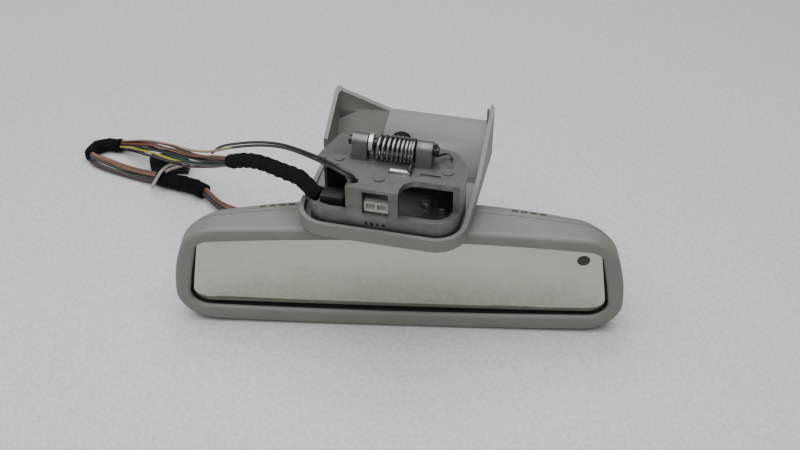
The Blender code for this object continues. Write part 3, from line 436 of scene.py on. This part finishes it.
def two_tone_lead(name, jacket, inside, change):
    """A thin lead whose black jacket ends part of the way along, where the tan insulation shows."""
    material = insulation(name, jacket)
    tree = material.node_tree
    shader = tree.nodes["Principled BSDF"]
    worn = shader.inputs["Base Color"].links[0].from_socket
    place = add(tree, "ShaderNodeTexCoord").outputs["Object"]
    across = add(tree, "ShaderNodeSeparateXYZ", {"Vector": place}).outputs["X"]
    bare = add(tree, "ShaderNodeMath", {0: across}, operation="LESS_THAN")
    bare.inputs[1].default_value = change
    colour = add(tree, "ShaderNodeMix", {"Factor": bare.outputs[0], 6: worn}, data_type="RGBA")
    colour.inputs[7].default_value = linear(inside)
    tree.links.new(colour.outputs[2], shader.inputs["Base Color"])
    return material


lead_line = smooth_route(LEAD_ROUTE, 0.0045)
lead_skins = (two_tone_lead("thin_lead_tan_end", "#191b1a", "#8f8168", HEAD_FOOT.x + TAN_FROM),
              insulation("thin_lead_black", "#1d1e1d"))
for i, side in enumerate((-1.0, 1.0)):
    points = []
    kept = lead_line if i == 0 else lead_line[:-SHORTER_BY]
    for k, here in enumerate(kept):
        ahead = (lead_line[min(k + 1, len(lead_line) - 1)] - lead_line[max(k - 1, 0)]).normalized()
        across = ahead.cross(LEAD_SIDE).normalized()
        spread = LEAD_SPREAD + LEAD_BULGE * math.sin(math.pi * k / (len(lead_line) - 1))
        dip = max(0.0, (k - len(kept) + 5) / 4) ** 2 * LEAD_DIP if i else 0.0
        points.append(here + across * side * spread - Vector((0.0, 0.0, dip)))
    lead = wire_curve(f"thin_lead_{i + 1}", points, LEAD_RADIUS, lead_skins[i])
    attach(lead, "mount")
    if i == 0:
        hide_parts("lead_pair")

# Two light grey wires cut off short beside the small plug.
STUB_ROUTES = ([(-0.1576, 0.1394, 0.0086), (-0.1582, 0.1362, 0.0116), (-0.1606, 0.1310, 0.0140),
                (-0.1638, 0.1258, 0.0136), (-0.1672, 0.1216, 0.0096), (-0.1704, 0.1186, 0.0046)],
               [(-0.1520, 0.1397, 0.0090), (-0.1514, 0.1360, 0.0114), (-0.1540, 0.1320, 0.0128),
                (-0.1585, 0.1286, 0.0132), (-0.1615, 0.1260, 0.0128)])
STUB_RADIUS = 0.0011
stub_grey = insulation("light_grey_pvc", "#a0978f")
for i, route in enumerate(STUB_ROUTES):
    points = smooth_route(route, 0.0022)
    stub = wire_curve(f"stub_wire_{i + 1}", points, STUB_RADIUS, stub_grey)
    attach(stub, "mount")
    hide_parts(f"stub_lead_{i + 1}")


# Head housing. Two mouldings of grey ABS, about 2.4 mm thick, meet at a seam that sweeps forward towards
# the ends: the bezel with its rolled front lip, and the rounded rear shell with cooling slots along its top.
HEAD_HEIGHT = 73.5
HEAD_HALF_WIDTHS = (129.8, 127.0, 117.5)
HEAD_REACH = 128.0
CORNER_STEPS = 10
SIDE_PARTS = (40, 3, 3, 40, 3, 3)
WALL = 2.4
SEAM_GAP = 0.3
LIP_RADIUS = 3.0
INNER_LIP = 2.1
SEAM_ROUND = 0.25
SHELL_CURVE = ((0.0, 0.12), (0.25, 0.0), (4.0, 0.35), (8.0, 1.4), (10.0, 2.7), (11.5, 4.5), (13.2, 7.0),
               (14.5, 10.0), (16.0, 14.2), (17.0, 18.0), (17.6, 21.0), (18.0, 24.0))
SHELL_DROOP = 0.3
SHELL_TAPER = 0.0025
VENT_HALF = 1.8
VENT_FRONT = 4.5
VENT_BACK = 6.7
VENTS = (-77.0, -71.5, -66.0, -60.5, 64.5, 69.7, 74.9, 80.1)


def rounded(corners):
    """Points of a polygon of (across, up, radius) corners, each corner turned into an arc."""
    points = []
    for i, (across, up, radius) in enumerate(corners):
        here = Vector((across, up))
        before = (Vector(corners[i - 1][:2]) - here).normalized()
        after = (Vector(corners[(i + 1) % len(corners)][:2]) - here).normalized()
        half = before.angle(after) / 2
        centre = here + (before + after).normalized() * radius / math.sin(half)
        first = here + before * radius / math.tan(half) - centre
        last = here + after * radius / math.tan(half) - centre
        sweep = first.angle_signed(last) if first.length > 1e-6 else 0.0
        for k in range(CORNER_STEPS + 1):
            points.append(centre + Matrix.Rotation(-sweep * k / CORNER_STEPS, 2) @ first)
    return points


def bowed(points, parts, top_bow, bottom_bow):
    """Split the long straight runs, then arch the top edge and lift the ends of the bottom edge."""
    result = []
    for i, here in enumerate(points):
        corner, place = divmod(i, CORNER_STEPS + 1)
        count = parts[corner] if place == CORNER_STEPS else 1
        for k in range(count):
            x, z = here.lerp(points[(i + 1) % len(points)], k / count)
            spread = (x / HEAD_REACH) ** 2
            rise = z / HEAD_HEIGHT
            result.append((x, z + (1 - rise) * bottom_bow * spread - rise * top_bow * spread))
    return result


def head_outline(inset):
    """The head's outline from the front, drawn in by the inset."""
    low, middle, top = HEAD_HALF_WIDTHS
    right = [(low - inset, inset, max(22.0 - inset, 3.0)),
             (middle - inset, 42.0, max(110.0 - 6.0 * inset, 10.0)),
             (top - inset, HEAD_HEIGHT - inset, max(21.0 - inset, 3.0))]
    left = [(-x, z, radius) for x, z, radius in reversed(right)]
    return bowed(rounded([left[-1]] + right + left[:-1]), SIDE_PARTS, 5.0, 2.2)


def opening_outline(inset):
    """The bezel's opening, drawn in by the inset."""
    right = [(121.4 - inset, 10.8 + inset, 11.0 - inset), (117.6 - inset, 38.0, 90.0),
             (112.4 - inset, 65.2 - inset, 8.0 - inset)]
    left = [(-x, z, radius) for x, z, radius in reversed(right)]
    return bowed(rounded([left[-1]] + right + left[:-1]), SIDE_PARTS, 8.0, 4.0)


def glass_outline(inset):
    """The glass's outline, drawn in by the inset."""
    corners = [(-119.6 + inset, 14.0 + inset, 10.0), (119.6 - inset, 14.0 + inset, 10.0),
               (112.2 - inset, 67.0 - inset, 8.0), (-112.2 + inset, 67.0 - inset, 8.0)]
    return bowed(rounded(corners), (40, 6, 40, 6), 8.0, 3.0)


def seam(x):
    """Depth of the seam between bezel and shell, which sweeps forward towards the ends."""
    return 20.5 - 6.9 * (x / 100.0) ** 2


def mesh_object(name, bm, material, smooth_angle=35.0):
    """Close a bmesh into an object with outward faces and smooth shading up to an angle."""
    bmesh.ops.recalc_face_normals(bm, faces=bm.faces)
    mesh = bpy.data.meshes.new(name)
    bm.to_mesh(mesh)
    bm.free()
    mesh.shade_smooth()
    mesh.set_sharp_from_angle(angle=math.radians(smooth_angle))
    mesh.materials.append(material)
    obj = bpy.data.objects.new(name, mesh)
    bpy.context.collection.objects.link(obj)
    return obj


def skin_rings(bm, rings):
    """Faces between each ring of points and the next; returns the rings' vertices."""
    loops = [[bm.verts.new(at(*point)) for point in ring] for ring in rings]
    for low, high in zip(loops, loops[1:]):
        for i in range(len(low)):
            j = (i + 1) % len(low)
            bm.faces.new((low[i], low[j], high[j], high[i]))
    return loops


CAP_START = 8


def cap_ring(bm, loop):
    """Close a swept ring by joining the points of its lower run to those of its upper run."""
    count = len(loop)
    start = count - CAP_START
    low = [loop[(start + k) % count] for k in range(count // 2 + 1)]
    high = [loop[(start - k) % count] for k in range(count // 2 + 1)]
    bm.faces.new((low[0], low[1], high[1]))
    for k in range(1, count // 2 - 1):
        bm.faces.new((low[k], low[k + 1], high[k + 1], high[k]))
    bm.faces.new((low[count // 2 - 1], low[count // 2], high[count // 2 - 1]))


def moulded_plastic(name, colour, grain=0.00045, roughness=0.5, depth=0.16):
    """Injection-moulded plastic: satin, with a fine etched grain and faint cloudy wear in its sheen."""
    material = bpy.data.materials.new(name)
    material.use_nodes = True
    tree = material.node_tree
    shader = tree.nodes["Principled BSDF"]
    place = add(tree, "ShaderNodeTexCoord").outputs["Object"]
    pebble = add(tree, "ShaderNodeTexVoronoi", {"Vector": place}, feature="SMOOTH_F1")
    pebble.inputs["Scale"].default_value = 1.0 / grain
    cloud = add(tree, "ShaderNodeTexNoise", {"Vector": place}, Scale=38.0, Detail=6.0, Roughness=0.62)
    tone = add(tree, "ShaderNodeValToRGB", {"Fac": cloud.outputs["Fac"]})
    base = linear(colour)
    for element, position, factor in zip(tone.color_ramp.elements, (0.3, 0.72), (0.9, 1.08)):
        element.position = position
        element.color = [min(1.0, c * factor) for c in base[:3]] + [1.0]
    tree.links.new(tone.outputs["Color"], shader.inputs["Base Color"])
    gloss = add(tree, "ShaderNodeMapRange", {"Value": cloud.outputs["Fac"]})
    gloss.inputs["From Min"].default_value = 0.3
    gloss.inputs["From Max"].default_value = 0.7
    gloss.inputs["To Min"].default_value = roughness - 0.07
    gloss.inputs["To Max"].default_value = roughness + 0.09
    tree.links.new(gloss.outputs["Result"], shader.inputs["Roughness"])
    bump = add(tree, "ShaderNodeBump", {"Height": pebble.outputs["Distance"]}, Strength=depth,
               Distance=0.00012)
    tree.links.new(bump.outputs["Normal"], shader.inputs["Normal"])
    return material


def applied(obj):
    """Turn an object's modifiers into plain mesh."""
    graph = bpy.context.evaluated_depsgraph_get()
    graph.update()
    mesh = bpy.data.meshes.new_from_object(obj.evaluated_get(graph))
    obj.modifiers.clear()
    obj.data = mesh
    return obj


def block(low, high, turn=None):
    """A cutter box in the frame; turn is a matrix used on it before it is placed."""
    bm = bmesh.new()
    bmesh.ops.create_cube(bm, size=1.0)
    for vert in bm.verts:
        place = Vector([low[k] + (vert.co[k] + 0.5) * (high[k] - low[k]) for k in range(3)])
        vert.co = at(*(turn @ place if turn else place))
    mesh = bpy.data.meshes.new("cutter")
    bm.to_mesh(mesh)
    bm.free()
    obj = bpy.data.objects.new("cutter", mesh)
    bpy.context.collection.objects.link(obj)
    return obj


def cut(obj, cutters):
    """Cut the boxes out of an object and throw the boxes away."""
    for cutter in cutters:
        modifier = obj.modifiers.new("cut", "BOOLEAN")
        modifier.operation = "DIFFERENCE"
        modifier.solver = "MANIFOLD"
        modifier.object = cutter
    applied(obj)
    for cutter in cutters:
        bpy.data.objects.remove(cutter)
    obj.data.set_sharp_from_angle(angle=math.radians(35.0))
    return obj


ROUND_STEPS = 6
grey_abs = moulded_plastic("grained_grey_abs", "#74766f")
bezel_mesh = bmesh.new()
bezel_rings = [[(x, seam(x), z) for x, z in head_outline(SEAM_ROUND)],
               [(x, seam(x) - SEAM_ROUND, z) for x, z in head_outline(0.0)]]
for k in range(ROUND_STEPS + 1):
    turn = math.pi / 2 * k / ROUND_STEPS
    inset = LIP_RADIUS * (1 - math.cos(turn))
    bezel_rings.append([(x, LIP_RADIUS * (1 - math.sin(turn)), z) for x, z in head_outline(inset)])
for k in range(ROUND_STEPS + 1):
    turn = math.pi / 2 * k / ROUND_STEPS
    inset = -INNER_LIP * (1 - math.sin(turn))
    bezel_rings.append([(x, INNER_LIP * (1 - math.cos(turn)), z) for x, z in opening_outline(inset)])
bezel_rings.append([(x, WALL, z) for x, z in opening_outline(0.0)])
bezel_rings.append([(x, WALL, z) for x, z in head_outline(WALL)])
bezel_rings.append([(x, seam(x), z) for x, z in head_outline(WALL)])
bezel_loops = skin_rings(bezel_mesh, bezel_rings)
for i in range(len(bezel_loops[0])):
    j = (i + 1) % len(bezel_loops[0])
    bezel_mesh.faces.new((bezel_loops[-1][i], bezel_loops[-1][j], bezel_loops[0][j], bezel_loops[0][i]))
bezel = mesh_object("bezel", bezel_mesh, grey_abs)
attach(bezel, "head")
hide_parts("front_bezel")


def shell_ring(depth, inset, wall):
    """A ring of the rear shell, which droops and narrows towards its back at both ends."""
    ring = []
    for x, z in head_outline(inset + wall):
        drop = SHELL_DROOP * depth * (x / HEAD_REACH) ** 2 * z / HEAD_HEIGHT
        back = seam(x) + SEAM_GAP + max(depth - wall, 0.0)
        ring.append((x * (1 - SHELL_TAPER * depth), back, z - drop))
    return ring


shell_mesh = bmesh.new()
outer = [shell_ring(depth, inset, 0.0) for depth, inset in SHELL_CURVE]
inner = [shell_ring(0.0, 0.0, WALL)]
inner += [shell_ring(depth, inset, WALL) for depth, inset in SHELL_CURVE[3:]]
outer_loops = skin_rings(shell_mesh, outer)
inner_loops = skin_rings(shell_mesh, inner)
for i in range(len(outer_loops[0])):
    j = (i + 1) % len(outer_loops[0])
    shell_mesh.faces.new((outer_loops[0][i], outer_loops[0][j], inner_loops[0][j], inner_loops[0][i]))
cap_ring(shell_mesh, outer_loops[-1])
cap_ring(shell_mesh, inner_loops[-1])
bmesh.ops.triangulate(shell_mesh, faces=shell_mesh.faces)
rear_shell = mesh_object("rear_shell_moulding", shell_mesh, grey_abs)
joint_hole = block((-16.5, 20.0, 29.5), (16.5, 60.0, 60.6))
window_hole = block((36.8, 30.0, 36.8), (43.2, 60.0, 43.2))
vent_slots = [block((x - VENT_HALF, seam(x) + VENT_FRONT, 60.0), (x + VENT_HALF, seam(x) + VENT_BACK, 80.0))
              for x in VENTS]
cut(rear_shell, [joint_hole, window_hole] + vent_slots)
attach(rear_shell, "head")
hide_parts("rear_shell")


# Mirror glass. An automatic dimming mirror is two sheets of 1.8 mm glass sealed round their edge, with a
# reflecting coat on the rear one; the pair is stuck to a foam pad on a black carrier.
LITE = 1.8
GLASS_FRONT = 3.0
EYE = (102.8, 53.4)
EYE_POINTS = 48
EYE_PROFILE = ((3.2, 2.78), (3.5, 2.84), (3.6, 2.98), (3.6, 3.4))


def plain(name, colour, roughness, metallic=0.0, bump_scale=900.0, strength=0.1, **inputs):
    """A simple surface with fine grain; used for metals, rubber and small mouldings."""
    material = bpy.data.materials.new(name)
    material.use_nodes = True
    tree = material.node_tree
    shader = tree.nodes["Principled BSDF"]
    place = add(tree, "ShaderNodeTexCoord").outputs["Object"]
    grain = add(tree, "ShaderNodeTexNoise", {"Vector": place}, Scale=bump_scale, Detail=4.0)
    broad = add(tree, "ShaderNodeTexNoise", {"Vector": place}, Scale=90.0, Detail=4.0)
    tone = add(tree, "ShaderNodeValToRGB", {"Fac": broad.outputs["Fac"]})
    base = linear(colour)
    for element, position, factor in zip(tone.color_ramp.elements, (0.32, 0.7), (0.84, 1.12)):
        element.position = position
        element.color = [min(1.0, c * factor) for c in base[:3]] + [1.0]
    tree.links.new(tone.outputs["Color"], shader.inputs["Base Color"])
    gloss = add(tree, "ShaderNodeMapRange", {"Value": broad.outputs["Fac"]})
    gloss.inputs["To Min"].default_value = max(0.02, roughness - 0.08)
    gloss.inputs["To Max"].default_value = min(1.0, roughness + 0.1)
    tree.links.new(gloss.outputs["Result"], shader.inputs["Roughness"])
    shader.inputs["Metallic"].default_value = metallic
    for socket, value in inputs.items():
        shader.inputs[socket.replace("_", " ")].default_value = value
    bump = add(tree, "ShaderNodeBump", {"Height": grain.outputs["Fac"]}, Strength=strength, Distance=0.0002)
    tree.links.new(bump.outputs["Normal"], shader.inputs["Normal"])
    return material


def mirror_glass():
    """Reflecting coat seen through clear glass: a dim grey-green image, softened by a thin film of dust."""
    material = bpy.data.materials.new("silvered_mirror_glass")
    material.use_nodes = True
    tree = material.node_tree
    shader = tree.nodes["Principled BSDF"]
    place = add(tree, "ShaderNodeTexCoord").outputs["Object"]
    film = add(tree, "ShaderNodeTexNoise", {"Vector": place}, Scale=55.0, Detail=8.0, Roughness=0.7)
    specks = add(tree, "ShaderNodeTexNoise", {"Vector": place}, Scale=1600.0, Detail=2.0)
    tone = add(tree, "ShaderNodeValToRGB", {"Fac": film.outputs["Fac"]})
    for element, position, colour in zip(tone.color_ramp.elements, (0.3, 0.75), ("#b3b9aa", "#bcc2b4")):
        element.position = position
        element.color = linear(colour)
    tree.links.new(tone.outputs["Color"], shader.inputs["Base Color"])
    gloss = add(tree, "ShaderNodeMapRange", {"Value": film.outputs["Fac"]})
    gloss.inputs["To Min"].default_value = 0.05
    gloss.inputs["To Max"].default_value = 0.13
    tree.links.new(gloss.outputs["Result"], shader.inputs["Roughness"])
    shader.inputs["Metallic"].default_value = 1.0
    bump = add(tree, "ShaderNodeBump", {"Height": specks.outputs["Fac"]}, Strength=0.02, Distance=0.0001)
    tree.links.new(bump.outputs["Normal"], shader.inputs["Normal"])
    return material


mirror_coat = mirror_glass()
sheet_mesh = bmesh.new()
sheet_loops = skin_rings(sheet_mesh, [
    [(x, GLASS_FRONT + depth, z) for x, z in glass_outline(inset)]
    for depth, inset in ((0.0, 0.35), (0.12, 0.1), (0.35, 0.0), (LITE - 0.35, 0.0), (LITE, 0.35))])
sheet_mesh.faces.new(sheet_loops[0])
sheet_mesh.faces.new(sheet_loops[-1])
front_sheet = mesh_object("front_sheet_of_glass", sheet_mesh, mirror_coat)
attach(front_sheet, "head")
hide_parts("front_glass")


# Works inside the head. The sealed edge of the glass, its foam pad and black carrier, the circuit board with
# its plug, the two light sensors, the ball socket and the small screws that hold them.
def refined(name, node, material, edge=0.0002, cutters=()):
    """A copy of a CAD solid with its vertices joined and its edges rounded as a real moulding's are."""
    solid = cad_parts[node]
    bm = bmesh.new()
    bm.from_mesh(solid.data)
    bm.transform(solid.matrix_world)
    bmesh.ops.remove_doubles(bm, verts=bm.verts, dist=0.000004)
    bmesh.ops.dissolve_limit(bm, angle_limit=math.radians(0.6), verts=bm.verts, edges=bm.edges)
    obj = mesh_object(name, bm, material, 32.0)
    if cutters:
        cut(obj, cutters)
    if edge:
        rounding = obj.modifiers.new("edges", "BEVEL")
        rounding.width = edge
        rounding.segments = 2
        rounding.limit_method = "ANGLE"
        rounding.angle_limit = math.radians(38.0)
        rounding.use_clamp_overlap = True
        rounding.harden_normals = True
        applied(obj)
    return obj


def placed(obj, body, node):
    """Fix a piece to its moving body in place of its CAD solid."""
    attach(obj, body)
    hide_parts(node)


smoked = plain("smoked_sensor_window", "#161c17", 0.14, bump_scale=200.0, strength=0.03)
black_abs = plain("black_moulded_plastic", "#0c0d0d", 0.55)
board_green = plain("green_circuit_board", "#15452c", 0.4)
ivory_nylon = plain("ivory_nylon", "#b9bab0", 0.42)
bright_steel = plain("zinc_plated_screw_steel", "#b9bab8", 0.3, 1.0)
seal_rubber = plain("black_edge_seal", "#121312", 0.7)
grey_backing = plain("grey_backing_glass", "#7b827d", 0.16)
dark_foam = plain("black_foam", "#141414", 0.95, bump_scale=1500.0, strength=0.6)
SMALL_PARTS = (
    ("glass_seal", seal_rubber, "black_rubber", 0.0), ("rear_glass", grey_backing, "backing_glass", 0.0),
    ("foam_pad", dark_foam, "black_rubber", 0.0), ("glass_carrier", black_abs, "black_nylon", 0.0002),
    ("circuit_board", board_green, "board", 0.0), ("board_connector", ivory_nylon, "white_nylon", 0.0002),
    ("glare_sensor", black_abs, "dark_window", 0.0), ("ambient_window", smoked, "dark_window", 0.0003),
    ("socket_base", black_abs, "black_nylon", 0.0003), ("socket_cap", black_abs, "black_nylon", 0.0003),
    ("socket_washer", bright_steel, "steel", 0.0001),
)
for node, material, slot_name, edge in SMALL_PARTS:
    placed(refined(f"{node}_part", node, material, edge), "head", node)
for kind, count in (("carrier_screw", 4), ("socket_screw", 4)):
    for i in range(count):
        screw = refined(f"{kind}_part_{i + 1}", f"{kind}_{i + 1}", bright_steel, 0.0002)
        placed(screw, "head", f"{kind}_{i + 1}")

eye_mesh = bmesh.new()
eye_turns = [2 * math.pi * k / EYE_POINTS for k in range(EYE_POINTS)]
eye_rings = [[(EYE[0] + radius * math.cos(turn), depth, EYE[1] + radius * math.sin(turn))
              for turn in eye_turns] for radius, depth in EYE_PROFILE]
eye_loops = skin_rings(eye_mesh, eye_rings)
eye_mesh.faces.new(eye_loops[0])
eye_mesh.faces.new(eye_loops[-1])
placed(mesh_object("glare_sensor_window", eye_mesh, smoked), "head", "sensor_window")


# Ball joint. The die-cast stud's 19 mm ball turns in two ivory nylon liner shells that the socket clamps; its
# neck leaves the head upwards and is fixed to the casting by a nut under a black rubber cap.
def cast_metal(name, colour, roughness, metallic=0.85):
    """Pressure die-cast zinc: dull grey, mottled by flow marks, with pitting and faint scuffs."""
    material = bpy.data.materials.new(name)
    material.use_nodes = True
    tree = material.node_tree
    shader = tree.nodes["Principled BSDF"]
    place = add(tree, "ShaderNodeTexCoord").outputs["Object"]
    flow = add(tree, "ShaderNodeTexNoise", {"Vector": place}, Scale=70.0, Detail=7.0, Roughness=0.66,
               Distortion=1.4)
    pits = add(tree, "ShaderNodeTexNoise", {"Vector": place}, Scale=1100.0, Detail=3.0)
    tone = add(tree, "ShaderNodeValToRGB", {"Fac": flow.outputs["Fac"]})
    base = linear(colour)
    for element, position, factor in zip(tone.color_ramp.elements, (0.34, 0.68), (0.80, 1.14)):
        element.position = position
        element.color = [min(1.0, c * factor) for c in base[:3]] + [1.0]
    tree.links.new(tone.outputs["Color"], shader.inputs["Base Color"])
    gloss = add(tree, "ShaderNodeMapRange", {"Value": flow.outputs["Fac"]})
    gloss.inputs["From Min"].default_value = 0.3
    gloss.inputs["From Max"].default_value = 0.7
    gloss.inputs["To Min"].default_value = roughness + 0.12
    gloss.inputs["To Max"].default_value = roughness - 0.08
    tree.links.new(gloss.outputs["Result"], shader.inputs["Roughness"])
    shader.inputs["Metallic"].default_value = metallic
    height = add(tree, "ShaderNodeMath", {0: flow.outputs["Fac"], 1: pits.outputs["Fac"]}, operation="ADD")
    bump = add(tree, "ShaderNodeBump", {"Height": height.outputs[0]}, Strength=0.32, Distance=0.00018)
    tree.links.new(bump.outputs["Normal"], shader.inputs["Normal"])
    return material


die_cast = cast_metal("die_cast_zinc", "#6e726c", 0.46)
rubber = plain("black_rubber", "#060707", 0.7, strength=0.2, Specular_IOR_Level=0.25)
placed(refined("ball_stud_part", "ball_stud", die_cast, 0.0003), "mount", "ball_stud")
placed(refined("stud_nut_part", "stud_nut", bright_steel, 0.0003), "mount", "stud_nut")
placed(refined("rubber_cap", "stud_cap", rubber, 0.0004), "mount", "stud_cap")
placed(refined("rear_liner_shell", "liner_rear", ivory_nylon, 0.0002), "liner_rear_body", "liner_rear")
placed(refined("front_liner_shell", "liner_front", ivory_nylon, 0.0002), "liner_front_body", "liner_front")


# Roof mount. A grey ABS tray carries a zinc die casting by three screws; its plate has two open corners,
# a window for a two-way terminal block, bosses for the spring's shaft and raised pads that meet the roof.
MOUNT_YAW = math.radians(-10.5)
MOUNT_PLACE = Matrix.Translation((0.0, 38.0, 0.0)) @ Matrix.Rotation(MOUNT_YAW, 4, "Z")


def in_mount(u, v, z):
    """A point given in the mount's own millimetres."""
    return at(*(MOUNT_PLACE @ Vector((u, v, z))))


placed(refined("tray_moulding", "mount_shroud", grey_abs, 0.0005), "mount", "mount_shroud")
# The plate's left corner is open further back than its right one, in two steps, where the wires come out.
CORNER_LOW = (-60.0, -42.0, 92.0)
CORNER_STEPS_BACK = ((-33.5, -30.5, 125.0), (-25.5, -34.5, 125.0))
corner_cutters = [block(Vector(CORNER_LOW), step, MOUNT_PLACE) for step in CORNER_STEPS_BACK]
casting = refined("die_casting", "mount_bracket", die_cast, 0.00035, corner_cutters)
placed(casting, "mount", "mount_bracket")
placed(refined("terminal_housing", "terminal_block", ivory_nylon, 0.0002), "mount", "terminal_block")
placed(refined("sleeve_plug", "mount_connector", black_abs, 0.0002), "mount", "mount_connector")
for i in range(3):
    screw = refined(f"tray_screw_{i + 1}", f"shroud_screw_{i + 1}", bright_steel, 0.0002)
    placed(screw, "mount", f"shroud_screw_{i + 1}")


# Latch spring. A plated steel torsion spring lies on the shaft between the bosses: nine turns of 2 mm wire,
# 12.4 mm across their middle, with one leg behind the plate and one reaching over the bright latch blade.
SHAFT_V = -22.0
COIL_RADIUS = 6.2
COIL_Z = 117.0
COIL_SPAN = (-7.8, 12.8)
COIL_TURNS = 9
TURN_POINTS = 40
COIL_CROWDING = 1.25
FRONT_LEG = ((12.8, -16.0, 115.0), (12.8, -18.4, 113.7), (12.8, -23.0, 114.0), (12.8, -28.0, 114.4),
             (12.6, -32.0, 114.5), (12.4, -35.6, 114.4))


def bar_tree():
    """A round bar along a guide line, with closed ends."""
    tree = bpy.data.node_groups.new("round_bar", "GeometryNodeTree")
    tree.interface.new_socket("Geometry", in_out="INPUT", socket_type="NodeSocketGeometry")
    tree.interface.new_socket("Radius", in_out="INPUT", socket_type="NodeSocketFloat")
    tree.interface.new_socket("Material", in_out="INPUT", socket_type="NodeSocketMaterial")
    tree.interface.new_socket("Geometry", in_out="OUTPUT", socket_type="NodeSocketGeometry")
    given = tree.nodes.new("NodeGroupInput")
    circle = add(tree, "GeometryNodeCurvePrimitiveCircle", {"Radius": given.outputs["Radius"]},
                 Resolution=16)
    skin = add(tree, "GeometryNodeCurveToMesh", {"Curve": given.outputs["Geometry"],
                                                 "Profile Curve": circle.outputs["Curve"]})
    skin.inputs["Fill Caps"].default_value = True
    smooth = add(tree, "GeometryNodeSetShadeSmooth", {"Geometry": skin.outputs["Mesh"]})
    real = add(tree, "GeometryNodeRealizeInstances", {"Geometry": smooth.outputs["Geometry"]})
    painted = add(tree, "GeometryNodeSetMaterial", {"Geometry": real.outputs["Geometry"],
                                                    "Material": given.outputs["Material"]})
    result = tree.nodes.new("NodeGroupOutput")
    tree.links.new(painted.outputs["Geometry"], result.inputs["Geometry"])
    return tree


round_bar = bar_tree()
spring_steel = plain("bright_plated_spring_steel", "#8a8c88", 0.24, 1.0, bump_scale=500.0, strength=0.08)
coil_line = []
for i in range(COIL_TURNS * TURN_POINTS + 1):
    share = i / (COIL_TURNS * TURN_POINTS)
    angle = -2 * math.pi * COIL_TURNS * share
    u = COIL_SPAN[0] + (COIL_SPAN[1] - COIL_SPAN[0]) * (1 - (1 - share) ** COIL_CROWDING)
    v = SHAFT_V + COIL_RADIUS * math.cos(angle)
    coil_line.append(in_mount(u, v, COIL_Z + COIL_RADIUS * math.sin(angle)))
rear_leg = [in_mount(COIL_SPAN[0], SHAFT_V + COIL_RADIUS, COIL_Z - 9.5 + k) for k in range(9)]
front_leg = [in_mount(*place) for place in FRONT_LEG]
spring = grown("coil_spring", guide_line(rear_leg + coil_line + front_leg), round_bar, Radius=0.001,
               Material=spring_steel)
placed(spring, "mount", "torsion_spring")
dark_steel = plain("dark_spring_steel", "#3f403e", 0.36, 1.0)
white_steel = plain("bright_zinc_strip", "#cdcfca", 0.3, 0.75)
placed(refined("shaft", "spring_shaft", dark_steel, 0.0003), "mount", "spring_shaft")
placed(refined("shaft_end_clip", "shaft_clip", dark_steel, 0.0), "mount", "shaft_clip")
placed(refined("latch_blade", "latch_lever", white_steel, 0.0002), "lever", "latch_lever")
placed(refined("loom_plug_housing", "loom_connector", black_abs, 0.0003), "mount", "loom_connector")
placed(refined("small_plug_housing", "small_connector", black_abs, 0.0003), "mount", "small_connector")
